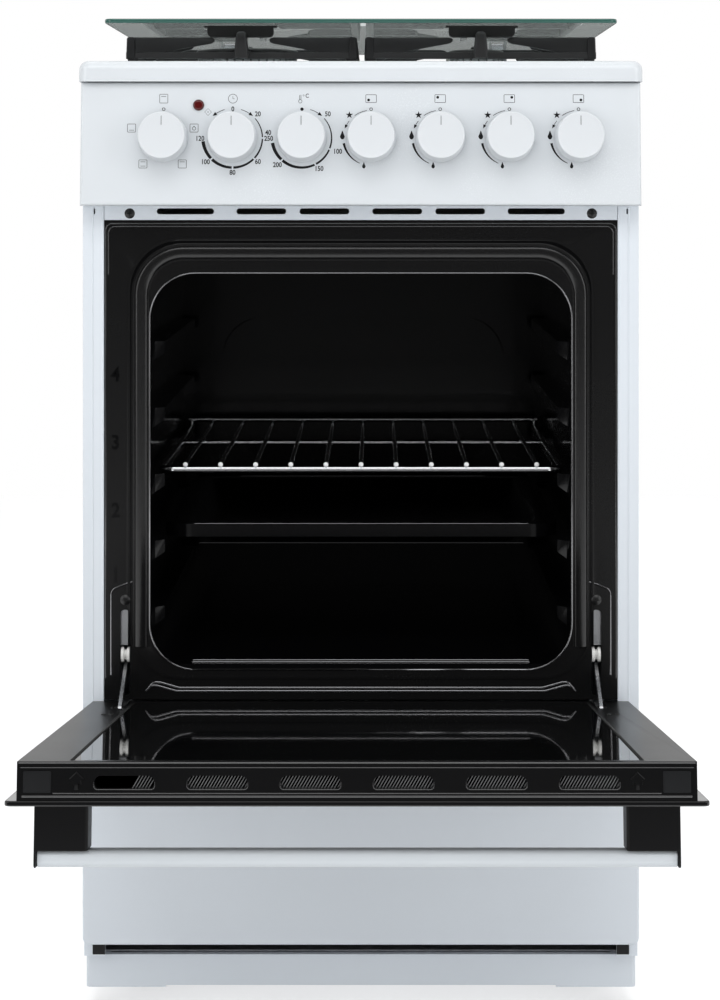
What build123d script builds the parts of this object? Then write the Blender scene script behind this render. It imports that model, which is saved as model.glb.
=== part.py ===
from build123d import *
from math import asin, atan2, cos, degrees, hypot, radians, sin, tan
import os

# Free-standing cooker, 50 cm wide: gas hob under a glass lid, electric oven, storage drawer.
# X runs to the right, Y to the back, Z up. The origin is on the floor, midway between the four feet.
# Sizes across the cooker follow BODY_W, depths follow BODY_D. Heights run up from the base to the drawer's
# top and down from the hob's rim to the oven mouth, so the oven takes up what lies between.
# The oven door is modelled closed and then swung down to its rest place, open.

# Whole cooker
BODY_W = 496.0
BODY_D = 580.0
HOB_RIM_Z = 850.0
BODY_HALF = BODY_W / 2
FRONT_Y = -BODY_D / 2
BACK_Y = BODY_D / 2

# Sheet metal and clearances
SHEET = 1.0
PANEL_SHEET = 1.5
FIT_GAP = 0.3
REST_GAP = 0.3
RUN_GAP = 0.05

# Base tray with the drawer runners
BASE_FLOOR_Z = 20.0
BASE_RAIL_H = 28.7
BASE_INSET_X = 1.8
BASE_SETBACK = 28.0
BASE_LIP = 20.0
RUNNER_H = 17.3
RUNNER_T = 2.0
RUNNER_W = 31.0
RUNNER_BACK_ROOM = 110.0
BASE_TOP_Z = BASE_FLOOR_Z + BASE_RAIL_H
BASE_HALF = BODY_HALF - BASE_INSET_X
BASE_FRONT_Y = FRONT_Y + BASE_SETBACK
RUNNER_Z = BASE_TOP_Z + RUNNER_H
RUNNER_LEN = BODY_D - RUNNER_BACK_ROOM

# Feet
FOOT_INSET_X = 48.0
FOOT_INSET_Y = 100.0
FOOT_PAD_R = 18.0
FOOT_PAD_H = 9.0
FOOT_STEM_R = 5.0
FOOT_STEM_H = 24.0
FOOT_NUT_R = 9.0
FOOT_NUT_H = 5.0
FOOT_SPACING_X = BODY_W - 2 * FOOT_INSET_X
FOOT_SPACING_Y = BODY_D - 2 * FOOT_INSET_Y

# Plinth
PLINTH_H = 29.6
PLINTH_TOP_GAP = 1.4
PLINTH_SETBACK = 20.0
PLINTH_INSET_X = 0.5
PLINTH_RETURN = 20.0
PLINTH_R = 4.0
PLINTH_FLANGE = 6.0
PLINTH_TAB_W = 22.0
PLINTH_TAB_D = 12.0
PLINTH_END_DROP = 1.6
PLINTH_END_W = 72.0
PLINTH_HALF = BODY_HALF - PLINTH_INSET_X
PLINTH_TOP_Z = BASE_TOP_Z - PLINTH_TOP_GAP
PLINTH_LOW_Z = PLINTH_TOP_Z - PLINTH_H

# Drawer
DRAWER_RISE = 14.6
DRAWER_FRONT_H = 176.7
DRAWER_FRONT_T = 14.0
DRAWER_PROUD = 5.0
DRAWER_SIDE_GAP = 0.2
DRAWER_CORNER_R = 6.0
DRAWER_EDGE_R = 2.0
DRAWER_BOX_INSET_X = 20.0
DRAWER_BOX_TOP_DROP = 26.0
DRAWER_BOX_BACK_ROOM = 150.0
DRAWER_LOW_Z = BASE_TOP_Z + DRAWER_RISE
DRAWER_TOP_Z = DRAWER_LOW_Z + DRAWER_FRONT_H
DRAWER_FRONT_HALF = BODY_HALF - DRAWER_SIDE_GAP
DRAWER_BOX_HALF = BODY_HALF - DRAWER_BOX_INSET_X
DRAWER_BOX_TOP_Z = DRAWER_TOP_Z - DRAWER_BOX_TOP_DROP
DRAWER_BOX_LEN = BODY_D - DRAWER_BOX_BACK_ROOM

# Worktop
TOP_OVERHANG_X = 2.0
TOP_OVERHANG_Y = 20.0
TOP_SKIRT_H = 18.5
TOP_EDGE_R = 8.0
TOP_CORNER_R = 10.0
TOP_RIM_W = 13.0
TOP_FIELD_DROP = 8.0
TOP_FIELD_R = 14.0
TOP_SHEET = 1.0
TOP_LEDGE_D = 85.0
TOP_VENTS = 9
TOP_VENT_PITCH = 34.0
TOP_VENT_L = 24.0
TOP_VENT_W = 4.0
TOP_VENT_INSET_Y = 14.0
TOP_HALF = BODY_HALF + TOP_OVERHANG_X
TOP_FRONT_Y = FRONT_Y - TOP_OVERHANG_Y
TOP_SKIRT_Z = HOB_RIM_Z - TOP_SKIRT_H
TOP_FIELD_Z = HOB_RIM_Z - TOP_FIELD_DROP
TOP_LEDGE_Y = BACK_Y - TOP_LEDGE_D
BODY_TOP_Z = TOP_SKIRT_Z - FIT_GAP

# Control panel
PANEL_LEAN = 5.0
PANEL_H = 109.6
PANEL_LOW_PROUD = 24.0
PANEL_BACK_SETBACK = 8.0
PANEL_EDGE_R = 3.0
DIAL_COUNT = 7
GAS_DIAL_COUNT = 4
DIAL_END_ROOM = 64.4
DIAL_SHIFT = 9.2
DIAL_DROP = 49.6
DIAL_HOLE_R = 5.0
LAMP_DOT_RIGHT = 30.9
LAMP_DOT_RISE = 29.1
LAMP_DOT_R = 5.0
LAMP_DOT_H = 2.6
LAMP_DOT_L = 8.0
PANEL_TOP_Z = TOP_SKIRT_Z - FIT_GAP
PANEL_LOW_Z = PANEL_TOP_Z - PANEL_H
PANEL_BACK_Y = FRONT_Y + PANEL_BACK_SETBACK
FIRST_GAS_DIAL = DIAL_COUNT - GAS_DIAL_COUNT
DIAL_PITCH = (BODY_W - 2 * DIAL_END_ROOM) / (DIAL_COUNT - 1)
DIAL_X0 = DIAL_SHIFT + DIAL_END_ROOM - BODY_HALF
DIAL_Z = PANEL_TOP_Z - DIAL_DROP
LAMP_DOT_X = DIAL_X0 + LAMP_DOT_RIGHT
LAMP_DOT_Z = DIAL_Z + LAMP_DOT_RISE

# Knobs and their spindles
KNOB_SKIRT_R = 23.0
KNOB_FACE_R = 21.4
KNOB_GRIP_R = 20.2
KNOB_GAP = 3.8
KNOB_H = 21.2
KNOB_SKIRT_H = 3.0
KNOB_EDGE_R = 1.2
KNOB_WALL = 2.0
KNOB_DISH = 0.6
KNOB_BOSS_R = 6.5
KNOB_LINE_W = 1.2
KNOB_LINE_L = 12.0
KNOB_LINE_D = 0.5
SPINDLE_R = 3.9
SPINDLE_TIP = 17.0
SPINDLE_BACK = 10.0
TAP_PUSH = 3.0

# Side panels
SIDE_FLANGE_W = 18.9
FLANGE_DRAWER_GAP = 3.0
LOW_FLANGE_STEP = 10.0
SIDE_MARK_INSET = 10.3
SIDE_MARK_L = 5.0
SIDE_MARK_W = 1.4
SIDE_IN = BODY_HALF - SHEET
SIDE_LOW_Z = BASE_TOP_Z + FIT_GAP
FLANGE_HALF_IN = BODY_HALF - SIDE_FLANGE_W
FLANGE_LOW_Z = DRAWER_TOP_Z + FLANGE_DRAWER_GAP
LOW_FLANGE_Y = FRONT_Y + LOW_FLANGE_STEP

# Rail with the vent slots
VENT_RAIL_H = 12.5
VENT_RAIL_D = 14.0
VENT_RAIL_SCREW_RISE = 5.8
VENT_RAIL_SCREW_INSET = 22.9
VENT_SLOT_RISE = 7.7
VENT_SLOT_H = 5.35
VENT_SLOT_L = 44.4
VENT_OUTER_SLOT_L = 51.0
VENT_SLOT_SHARE_1 = 0.1574
VENT_SLOT_SHARE_2 = 0.4304
VENT_SLOT_SHARE_3 = 0.759
VENT_RAIL_HALF = FLANGE_HALF_IN - FIT_GAP
VENT_RAIL_TOP_Z = PANEL_LOW_Z - FIT_GAP
VENT_RAIL_LOW_Z = VENT_RAIL_TOP_Z - VENT_RAIL_H
VENT_SLOT_Z = VENT_RAIL_LOW_Z + VENT_SLOT_RISE
RAIL_SCREW_X = FLANGE_HALF_IN - VENT_RAIL_SCREW_INSET
RAIL_SCREW_Z = VENT_RAIL_LOW_Z + VENT_RAIL_SCREW_RISE
SIDE_MARK_X = BODY_HALF - SIDE_MARK_INSET
SIDE_MARK_Z = VENT_SLOT_Z

# Front frame and oven mouth
FRAME_SIDE_GAP = 0.1
FRAME_T = 3.0
FRAME_DRAWER_GAP = 41.0
MOUTH_SIDE_MARGIN = 41.4
MOUTH_TOP_MARGIN = 47.9
MOUTH_LOW_MARGIN = 27.5
MOUTH_R = 40.0
FRAME_LINE_OUT = 20.5
FRAME_LINE_ABOVE = 32.1
FRAME_LINE_BELOW = 9.0
FRAME_LINE_R = 47.0
FRAME_LINE_W = 2.4
FRAME_LINE_H = 0.8
FRAME_HALF = FLANGE_HALF_IN - FRAME_SIDE_GAP
FRAME_TOP_Z = VENT_RAIL_LOW_Z - FIT_GAP
FRAME_LOW_Z = DRAWER_TOP_Z + FRAME_DRAWER_GAP
MOUTH_HALF = FRAME_HALF - MOUTH_SIDE_MARGIN
MOUTH_TOP_Z = FRAME_TOP_Z - MOUTH_TOP_MARGIN
MOUTH_LOW_Z = FRAME_LOW_Z + MOUTH_LOW_MARGIN
FRAME_LINE_HALF = MOUTH_HALF + FRAME_LINE_OUT
FRAME_LINE_TOP_Z = MOUTH_TOP_Z + FRAME_LINE_ABOVE

# Seal round the mouth
GASKET_MARGIN = 1.0
GASKET_W = 14.9
GASKET_ABOVE = 12.4
GASKET_TOP_W = 13.0
GASKET_LOW_RISE = 19.5
GASKET_R = 45.0
GASKET_PROUD = 1.7
GASKET_SINK = 1.0
GASKET_IN = MOUTH_HALF + GASKET_MARGIN
GASKET_OUT = GASKET_IN + GASKET_W
GASKET_TOP_IN_Z = MOUTH_TOP_Z + GASKET_ABOVE
GASKET_TOP_OUT_Z = GASKET_TOP_IN_Z + GASKET_TOP_W
GASKET_LOW_Z = MOUTH_LOW_Z + GASKET_LOW_RISE

# Cavity
CAVITY_MARGIN_X = 3.4
CAVITY_BELOW_LIP = 3.5
CAVITY_ABOVE_MOUTH = 13.4
CAVITY_BACK_ROOM = 152.0
CAVITY_R = 30.0
CAVITY_FLANGE = 12.0
GUIDE_COUNT = 5
GUIDE_LOW_ROOM = 46.4
GUIDE_TOP_ROOM = 75.6
GUIDE_H = 20.0
GUIDE_REACH = 13.0
GUIDE_SLOPE = 9.0
GUIDE_END_SLOPE = 8.0
GUIDE_SETBACK = 28.0
GUIDE_BACK_ROOM = 28.0
REAR_RIB_INSET_X = 41.0
REAR_RIB_TOP_ROOM = 76.0
REAR_RIB_LOW_ROOM = 28.0
REAR_RIB_W = 8.0
REAR_RIB_R = 43.0
REAR_RIB_PROUD = 2.0
CAVITY_HALF = MOUTH_HALF + CAVITY_MARGIN_X
CAVITY_LOW_Z = MOUTH_LOW_Z + CAVITY_BELOW_LIP
CAVITY_TOP_Z = MOUTH_TOP_Z + CAVITY_ABOVE_MOUTH
CAVITY_BACK_Y = BACK_Y - CAVITY_BACK_ROOM
GUIDE_LOW_Z = CAVITY_LOW_Z + GUIDE_LOW_ROOM
GUIDE_HIGH_Z = CAVITY_TOP_Z - GUIDE_TOP_ROOM
GUIDE_PITCH = (GUIDE_HIGH_Z - GUIDE_LOW_Z) / (GUIDE_COUNT - 1)
GUIDE_FRONT_Y = FRONT_Y + GUIDE_SETBACK
GUIDE_BACK_Y = CAVITY_BACK_Y - GUIDE_BACK_ROOM
REAR_RIB_HALF = CAVITY_HALF - REAR_RIB_INSET_X
REAR_RIB_TOP_Z = CAVITY_TOP_Z - REAR_RIB_TOP_ROOM
REAR_RIB_LOW_Z = CAVITY_LOW_Z + REAR_RIB_LOW_ROOM

# Door, modelled closed
DOOR_BACK_GAP = 2.0
DOOR_FRAME_T = 27.0
DOOR_FRAME_INSET_X = 9.7
DOOR_DRAWER_GAP = 26.0
DOOR_ABOVE_FRAME = 9.5
DOOR_WALL = 1.4
DOOR_GLASS_T = 4.0
OUTER_GLASS_INSET_X = 0.7
INNER_GLASS_INSET_X = 38.3
INNER_GLASS_BELOW = 7.0
INNER_GLASS_ABOVE = 8.0
GLASS_CORNER_R = 5.0
GLASS_LEDGE = 6.0
DOOR_SLOT_HALF = 5.0
DOOR_SLOT_H = 68.0
DOOR_CHEEK_T = 2.0
TOP_EDGE_VENTS = 6
TOP_EDGE_VENT_MARGIN = 42.7
TOP_EDGE_VENT_L = 42.0
TOP_EDGE_VENT_NEAR = 9.8
TOP_EDGE_VENT_FAR = 18.9
DOOR_BACK_Y = FRONT_Y - DOOR_BACK_GAP
DOOR_FRAME_FRONT_Y = DOOR_BACK_Y - DOOR_FRAME_T
GLASS_BACK_Y = DOOR_BACK_Y - DOOR_GLASS_T
OUTER_FACE_Y = DOOR_FRAME_FRONT_Y - DOOR_GLASS_T
DOOR_FRAME_HALF = BODY_HALF - DOOR_FRAME_INSET_X
DOOR_LOW_Z = DRAWER_TOP_Z + DOOR_DRAWER_GAP
DOOR_TOP_Z = FRAME_TOP_Z + DOOR_ABOVE_FRAME
DOOR_SLOT_TOP_Z = DOOR_LOW_Z + DOOR_SLOT_H
OUTER_GLASS_HALF = BODY_HALF - OUTER_GLASS_INSET_X
INNER_GLASS_HALF = DOOR_FRAME_HALF - INNER_GLASS_INSET_X
INNER_GLASS_LOW_Z = DOOR_LOW_Z + INNER_GLASS_ABOVE
INNER_GLASS_TOP_Z = DOOR_TOP_Z - INNER_GLASS_BELOW
TOP_EDGE_VENT_PITCH = 2 * (DOOR_FRAME_HALF - TOP_EDGE_VENT_MARGIN) / TOP_EDGE_VENTS

# Door hinge, on each side
DOOR_OPEN_ANGLE = 82.95
HINGE_INSET_X = 18.8
HINGE_PIN_R = 3.0
HINGE_PIN_HALF = 6.9
DOOR_PIVOT_PROUD = 11.7
DOOR_PIVOT_RISE = 5.6
LUG_T = 4.0
LUG_R = 7.0
LUG_SETBACK = 22.0
LUG_BLOCK_L = 12.0
LUG_SLOT_CLEAR = 2.5
POCKET_W = 9.0
POCKET_RISE = 4.0
POCKET_H = 76.0
HOUSING_HALF = 6.0
HOUSING_T = 1.4
HOUSING_PLATE_T = 1.5
HOUSING_D = 82.0
HOUSING_BELOW_PIVOT = 9.6
HOUSING_ABOVE_POCKET = 15.0
HINGE_SCREW_ABOVE_POCKET = 8.8
CATCH_ABOVE_ROLLER = 8.7
ROLLER_SETBACK = 5.0
ROLLER_ABOVE_PIVOT = 48.7
ROLLER_R = 6.7
ROLLER_WAIST_R = 4.6
ROLLER_W = 7.6
ROLLER_TYRE_W = 2.2
ROLLER_SLOPE_W = 0.9
ROLLER_PIN_R = 1.5
LINK_T = 3.0
LINK_H = 7.0
LINK_LEN = 76.0
LINK_PIN_R = 2.5
LINK_PIN_BACK = 6.5
LINK_PIN_UP = 33.0
LINK_ROLLER_GAP = 0.5
HINGE_X = FRAME_HALF - HINGE_INSET_X
DOOR_PIVOT_Y = FRONT_Y - DOOR_PIVOT_PROUD
DOOR_PIVOT_Z = DOOR_LOW_Z + DOOR_PIVOT_RISE
DOOR_SLOT_FRONT_Y = DOOR_PIVOT_Y - LUG_R - LUG_SLOT_CLEAR
POCKET_LOW_Z = FRAME_LOW_Z + POCKET_RISE
POCKET_TOP_Z = POCKET_LOW_Z + POCKET_H
HOUSING_BACK_Y = FRONT_Y + FRAME_T + HOUSING_D
HOUSING_LOW_Z = DOOR_PIVOT_Z - HOUSING_BELOW_PIVOT
HOUSING_TOP_Z = POCKET_TOP_Z + HOUSING_ABOVE_POCKET
HINGE_SCREW_Z = POCKET_TOP_Z + HINGE_SCREW_ABOVE_POCKET
LUG_BACK_Y = FRONT_Y + LUG_SETBACK
ROLLER_Y = FRONT_Y + ROLLER_SETBACK
ROLLER_Z = DOOR_PIVOT_Z + ROLLER_ABOVE_PIVOT
CATCH_LOW_Z = ROLLER_Z + CATCH_ABOVE_ROLLER
LINK_PIN_Y = DOOR_PIVOT_Y + LINK_PIN_BACK
LINK_PIN_Z = DOOR_PIVOT_Z + LINK_PIN_UP

# Screws in the rail and over the hinges
SCREW_HEAD_R = 4.6
SCREW_HEAD_H = 1.6
SCREW_SHANK_R = 2.0
SCREW_LEN = 10.0
SCREW_CROSS = 4.6
SCREW_CROSS_W = 1.0
SCREW_CROSS_D = 0.9

# Handle
HANDLE_BAR_INSET_X = 20.0
HANDLE_BELOW_TOP = 53.0
HANDLE_BAR_H = 20.0
HANDLE_BAR_T = 12.0
HANDLE_BAR_R = 5.0
HANDLE_FINGER_GAP = 35.0
HANDLE_END_COVER = 2.0
HANDLE_BRACKET_W = 38.5
HANDLE_BRACKET_H = 26.0
HANDLE_CHEEK_T = 1.7
HANDLE_CORNER_R = 3.0
HANDLE_BAR_HALF = BODY_HALF - HANDLE_BAR_INSET_X
HANDLE_LOW_Z = DOOR_TOP_Z - HANDLE_BELOW_TOP
HANDLE_BRACKET_OUT = HANDLE_BAR_HALF + HANDLE_END_COVER
HANDLE_BRACKET_IN = HANDLE_BRACKET_OUT - HANDLE_BRACKET_W

# Wire shelf, on the third guide from below
SHELF_GUIDES_BELOW = 2
SHELF_ROD_R = 3.0
SHELF_BAR_R = 2.6
SHELF_WIRE_R = 2.15
SHELF_SIDE_GAP = 9.0
SHELF_SETBACK = 40.0
SHELF_BACK_ROOM = 22.0
SHELF_MID_TO_BACK = 142.0
SHELF_BACK_RISE = 9.0
SHELF_BEND_R = 12.0
SHELF_REAR_BEND_R = 4.2
SHELF_WIRES = 11
SHELF_END_ROOM = 22.5
SHELF_WIRE_UP = 4.4
SHELF_WIRE_FRONT = 3.0
SHELF_WIRE_BACK = 2.0
SHELF_HALF = CAVITY_HALF - SHELF_SIDE_GAP
SHELF_FRONT_Y = FRONT_Y + SHELF_SETBACK
SHELF_BACK_Y = CAVITY_BACK_Y - SHELF_BACK_ROOM
SHELF_MID_Y = SHELF_BACK_Y - SHELF_MID_TO_BACK
SHELF_PITCH = 2 * (SHELF_HALF - SHELF_END_ROOM) / (SHELF_WIRES - 1)
SHELF_SEAT_Z = GUIDE_LOW_Z + SHELF_GUIDES_BELOW * GUIDE_PITCH

# Baking tray, on the second guide from below
TRAY_GUIDES_BELOW = 1
TRAY_SIDE_GAP = 11.0
TRAY_SETBACK = 50.0
TRAY_BACK_ROOM = 21.0
TRAY_RIM_RISE = 12.1
TRAY_RIM_T = 1.2
TRAY_RIM_W = 20.0
TRAY_WELL_DEPTH = 22.0
TRAY_WELL_DRAFT = 20.0
TRAY_WELL_R = 10.0
TRAY_CORNER_R = 26.0
TRAY_WALL = 1.2
TRAY_HALF = CAVITY_HALF - TRAY_SIDE_GAP
TRAY_FRONT_Y = FRONT_Y + TRAY_SETBACK
TRAY_BACK_Y = CAVITY_BACK_Y - TRAY_BACK_ROOM
TRAY_SEAT_Z = GUIDE_LOW_Z + TRAY_GUIDES_BELOW * GUIDE_PITCH
TRAY_RIM_TOP_Z = TRAY_SEAT_Z + TRAY_RIM_RISE
TRAY_WELL_Z = TRAY_RIM_TOP_Z - TRAY_WELL_DEPTH

# Oven heaters, lamp and insulation
ELEMENT_R = 3.2
ELEMENT_INSET_X = 41.0
ELEMENT_SETBACK = 90.0
ELEMENT_BACK_ROOM = 48.0
ELEMENT_LOOP = 45.0
ELEMENT_BEND = 15.0
ELEMENT_TAIL_X = 40.0
ELEMENT_TAIL_OUT = 40.0
TOP_ELEMENT_DROP = 7.0
BOTTOM_ELEMENT_DROP = 9.0
HANGER_TO_BACK = 198.0
HANGER_HALF_T = 1.0
HANGER_HALF_W = 8.0
LAMP_INSET_X = 71.0
LAMP_TO_BACK = 98.0
LAMP_R = 20.0
LAMP_COVER_H = 8.0
LAMP_HOLDER_H = 30.0
LAMP_EDGE_R = 3.0
LAMP_FLANGE = 4.0
WOOL_T = 22.0
WOOL_BEHIND_HINGE = 15.0
WOOL_HOLE_GAP = 6.0
ELEMENT_HALF = CAVITY_HALF - ELEMENT_INSET_X
ELEMENT_FRONT_Y = FRONT_Y + ELEMENT_SETBACK
ELEMENT_BACK_Y = CAVITY_BACK_Y - ELEMENT_BACK_ROOM
TOP_ELEMENT_Z = CAVITY_TOP_Z - TOP_ELEMENT_DROP
BOTTOM_ELEMENT_Z = CAVITY_LOW_Z - BOTTOM_ELEMENT_DROP
HANGER_Y = CAVITY_BACK_Y - HANGER_TO_BACK
LAMP_X = CAVITY_HALF - LAMP_INSET_X
LAMP_Y = CAVITY_BACK_Y - LAMP_TO_BACK
WOOL_FRONT_Y = HOUSING_BACK_Y + WOOL_BEHIND_HINGE

# Burners
BURNER_INSET_X = 141.5
BURNER_SETBACK = 138.0
BURNER_BACK_ROOM = 222.0
RAPID_R = 47.0
SEMI_R = 36.0
AUX_R = 25.0
BURNER_HOLE_GAP = 1.0
BURNER_RING_H = 2.0
BURNER_RING_W = 4.0
CUP_DEPTH = 46.0
CUP_WALL = 1.5
CUP_REACH = 3.0
SPREADER_H = 18.0
SPREADER_FLANGE_H = 2.0
SPREADER_SKIRT_H = 8.0
SPREADER_WALL = 6.0
SPREADER_SLOT_D = 7.0
SPREADER_SLOT_W = 1.8
SPREADER_SLOT_DENSITY = 0.42
CAP_H = 7.5
CAP_OVERHANG = 1.5
CAP_EDGE_R = 2.2
CAP_SPIGOT_H = 3.0
JET_R = 4.0
JET_H = 12.0
JET_DROP = 6.0
JET_HOLE_R = 1.0
SPARK_R = 1.6
SPARK_COLLAR_R = 3.4
SPARK_SLEEVE_UP = 10.0
SPARK_SLEEVE_DOWN = 16.0
SPARK_TIP_RISE = 19.0
SPARK_GAP = 3.2
BURNER_X = TOP_HALF - BURNER_INSET_X
BURNER_FRONT_Y = FRONT_Y + BURNER_SETBACK
BURNER_BACK_Y = BACK_Y - BURNER_BACK_ROOM
BURNER_MIDDLE_Y = (BURNER_FRONT_Y + BURNER_BACK_Y) / 2
CUP_LOW_Z = TOP_FIELD_Z - CUP_DEPTH
SPREADER_TOP_Z = TOP_FIELD_Z + SPREADER_H
CAP_TOP_Z = SPREADER_TOP_Z + CAP_H
SPARK_TOP_Z = TOP_FIELD_Z + SPARK_TIP_RISE

# Pan supports
PAN_MIDDLE_GAP_HALF = 3.0
PAN_INSET_X = 36.0
PAN_FRONT_REACH = 110.0
PAN_BACK_REACH = 107.0
PAN_LEG_H = 13.0
PAN_LEG_R = 6.0
PAN_RAIL_RISE = 19.0
PAN_BAR_RISE = 32.6
PAN_POST_RISE = 37.0
PAN_BAR_W = 9.0
PAN_FINGER_W = 5.0
PAN_FINGER_GAP = 25.0
PAN_ARM_GAP = 51.0
PAN_POST_W = 12.7
PAN_POST_TIP = 9.2
PAN_POST_D = 14.0
PAN_IN = PAN_MIDDLE_GAP_HALF
PAN_OUT = TOP_HALF - PAN_INSET_X
PAN_FRONT_Y = BURNER_FRONT_Y - PAN_FRONT_REACH
PAN_BACK_Y = BURNER_BACK_Y + PAN_BACK_REACH
PAN_RAIL_TOP_Z = TOP_FIELD_Z + PAN_RAIL_RISE
PAN_TOP_Z = TOP_FIELD_Z + PAN_BAR_RISE
PAN_POST_TOP_Z = TOP_FIELD_Z + PAN_POST_RISE

# Glass lid and its buffers
LID_INSET_X = 20.0
LID_SETBACK = 7.0
LID_BACK_ROOM = 53.0
LID_ABOVE_POST = 6.0
LID_T = 4.0
LID_R = 8.0
LID_BEVEL = 0.5
LID_ARM_INSET_X = 80.0
LID_ARM_W = 30.0
LID_ARM_L = 40.0
LID_ARM_T = 3.0
LID_KNUCKLE_R = 8.0
LID_KNUCKLE_W = 13.4
LID_PIN_R = 3.0
LID_PIN_GAP = 0.06
LID_PIVOT_BEHIND = 18.0
LID_PIVOT_BELOW = 5.0
LID_CHEEK_GAP = 14.0
LID_CHEEK_T = 3.0
LID_CHEEK_W = 18.0
SEAT_FOOT = 8.0
SEAT_T = 3.0
BUFFER_INSET_X = 120.0
BUFFER_BEHIND_POST = 21.0
BUFFER_W = 60.0
BUFFER_D = 14.0
BUFFER_R = 4.0
BUFFER_FLANGE = 3.0
BUFFER_FLANGE_T = 1.2
LID_HALF = TOP_HALF - LID_INSET_X
LID_FRONT_Y = FRONT_Y + LID_SETBACK
LID_BACK_Y = BACK_Y - LID_BACK_ROOM
LID_LOW_Z = PAN_POST_TOP_Z + LID_ABOVE_POST
LID_PIVOT_Y = LID_BACK_Y + LID_PIVOT_BEHIND
LID_PIVOT_Z = LID_LOW_Z - LID_PIVOT_BELOW
LID_ARM_X = LID_HALF - LID_ARM_INSET_X
BUFFER_X = LID_HALF - BUFFER_INSET_X
BUFFER_Y = PAN_FRONT_Y + BUFFER_BEHIND_POST

# Gas feed behind the panel
MANIFOLD_R = 8.0
MANIFOLD_SETBACK = 26.0
MANIFOLD_BELOW_DIAL = 2.6
MANIFOLD_END = 18.0
MANIFOLD_BEND_R = 16.0
TAP_BODY_R = 11.0
TAP_BODY_L = 42.0
TAP_STEP = 1.0
PIPE_R = 4.0
PIPE_BEND_R = 12.0
PIPE_BELOW_CUP = 46.0
PIPE_LANE_AHEAD_1 = 53.0
PIPE_LANE_AHEAD_2 = 128.0
PIPE_LANE_AHEAD_3 = 60.0
PIPE_DETOUR_IN = 23.5
INLET_INSET_X = 38.0
INLET_R = 10.48
INLET_BORE_R = 6.0
INLET_L = 16.0
INLET_COLLAR_R = 15.0
INLET_COLLAR_L = 6.0
INLET_NECK_R = 12.0
INLET_NECK_OUT = 2.0
MANIFOLD_Y = FRONT_Y + MANIFOLD_SETBACK
MANIFOLD_Z = DIAL_Z - MANIFOLD_BELOW_DIAL
PIPE_Z = CUP_LOW_Z - PIPE_BELOW_CUP
PIPE_DETOUR_X = BURNER_X - PIPE_DETOUR_IN
INLET_X = BODY_HALF - INLET_INSET_X

# Rear panel and electrics
REAR_SLOT_COLUMNS = 5
REAR_SLOT_ROWS = 4
REAR_SLOT_PITCH_X = 60.0
REAR_SLOT_PITCH_Z = 12.0
REAR_SLOT_L = 44.0
REAR_SLOT_W = 5.0
REAR_SLOT_BELOW_PIPE = 120.0
GLAND_INSET_X = 48.0
GLAND_ABOVE_PIPE = 10.0
GLAND_BORE_R = 5.0
GLAND_NECK_R = 8.0
GLAND_R = 11.0
GLAND_L = 24.0
GLAND_INSIDE = 14.0
GLAND_FLANGE_T = 5.0
SWITCH_W = 34.0
SWITCH_D = 26.0
IGNITION_RIGHT = 54.4
IGNITION_W = 60.0
IGNITION_H = 28.0
IGNITION_D = 24.0
IGNITION_R = 3.0
REAR_SLOT_Z = PIPE_Z - REAR_SLOT_BELOW_PIPE
GLAND_X = GLAND_INSET_X - BODY_HALF
GLAND_Z = PIPE_Z + GLAND_ABOVE_PIPE
IGNITION_X = DIAL_X0 + IGNITION_RIGHT
IGNITION_Z = PIPE_Z + GLAND_ABOVE_PIPE


def block(x, y, z):
    """Box between the low and high values of each axis."""
    centre = [(pair[0] + pair[1]) / 2 for pair in (x, y, z)]
    size = [pair[1] - pair[0] for pair in (x, y, z)]
    return Pos(*centre) * Box(*size)


def rect(u, v):
    """Rectangle between the low and high values of both directions."""
    return Pos((u[0] + u[1]) / 2, (v[0] + v[1]) / 2) * Rectangle(u[1] - u[0], v[1] - v[0])


def rounded(u, v, radius):
    """Rectangle with round corners between low and high values."""
    centre = Pos((u[0] + u[1]) / 2, (v[0] + v[1]) / 2)
    return centre * RectangleRounded(u[1] - u[0], v[1] - v[0], radius)


def slab(sketch, y):
    """Sketch drawn in X and Z, made solid between two Y values."""
    return extrude(Plane.XZ.offset(-y[1]) * sketch, y[1] - y[0])


def across(sketch, x):
    """Sketch drawn in Y and Z, made solid between two X values."""
    return extrude(Plane.YZ.offset(x[0]) * sketch, x[1] - x[0])


def upright(sketch, z):
    """Sketch drawn in X and Y, made solid between two Z values."""
    return extrude(Plane.XY.offset(z[0]) * sketch, z[1] - z[0])


def rod(start, end, radius):
    """Round bar between two points."""
    run = Vector(*end) - Vector(*start)
    low = (Align.CENTER, Align.CENTER, Align.MIN)
    return Plane(origin=start, z_dir=run) * Cylinder(radius, run.length, align=low)


def bent_rod(points, radius, bend):
    """Round bar along a path with round bends."""
    path = FilletPolyline(*points, radius=bend)
    return sweep((path ^ 0) * Circle(radius), path=path)


def joined(shapes):
    """One shape from several that touch."""
    shapes = list(shapes)
    return shapes[0].fuse(*shapes[1:]) if len(shapes) > 1 else shapes[0]


def group(shapes):
    """Separate solids in one node."""
    return Compound([solid for shape in shapes for solid in shape.solids()])


def other_side(shape):
    return mirror(shape, about=Plane.YZ)


def both_sides(shape):
    return group([shape, other_side(shape)])


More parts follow.
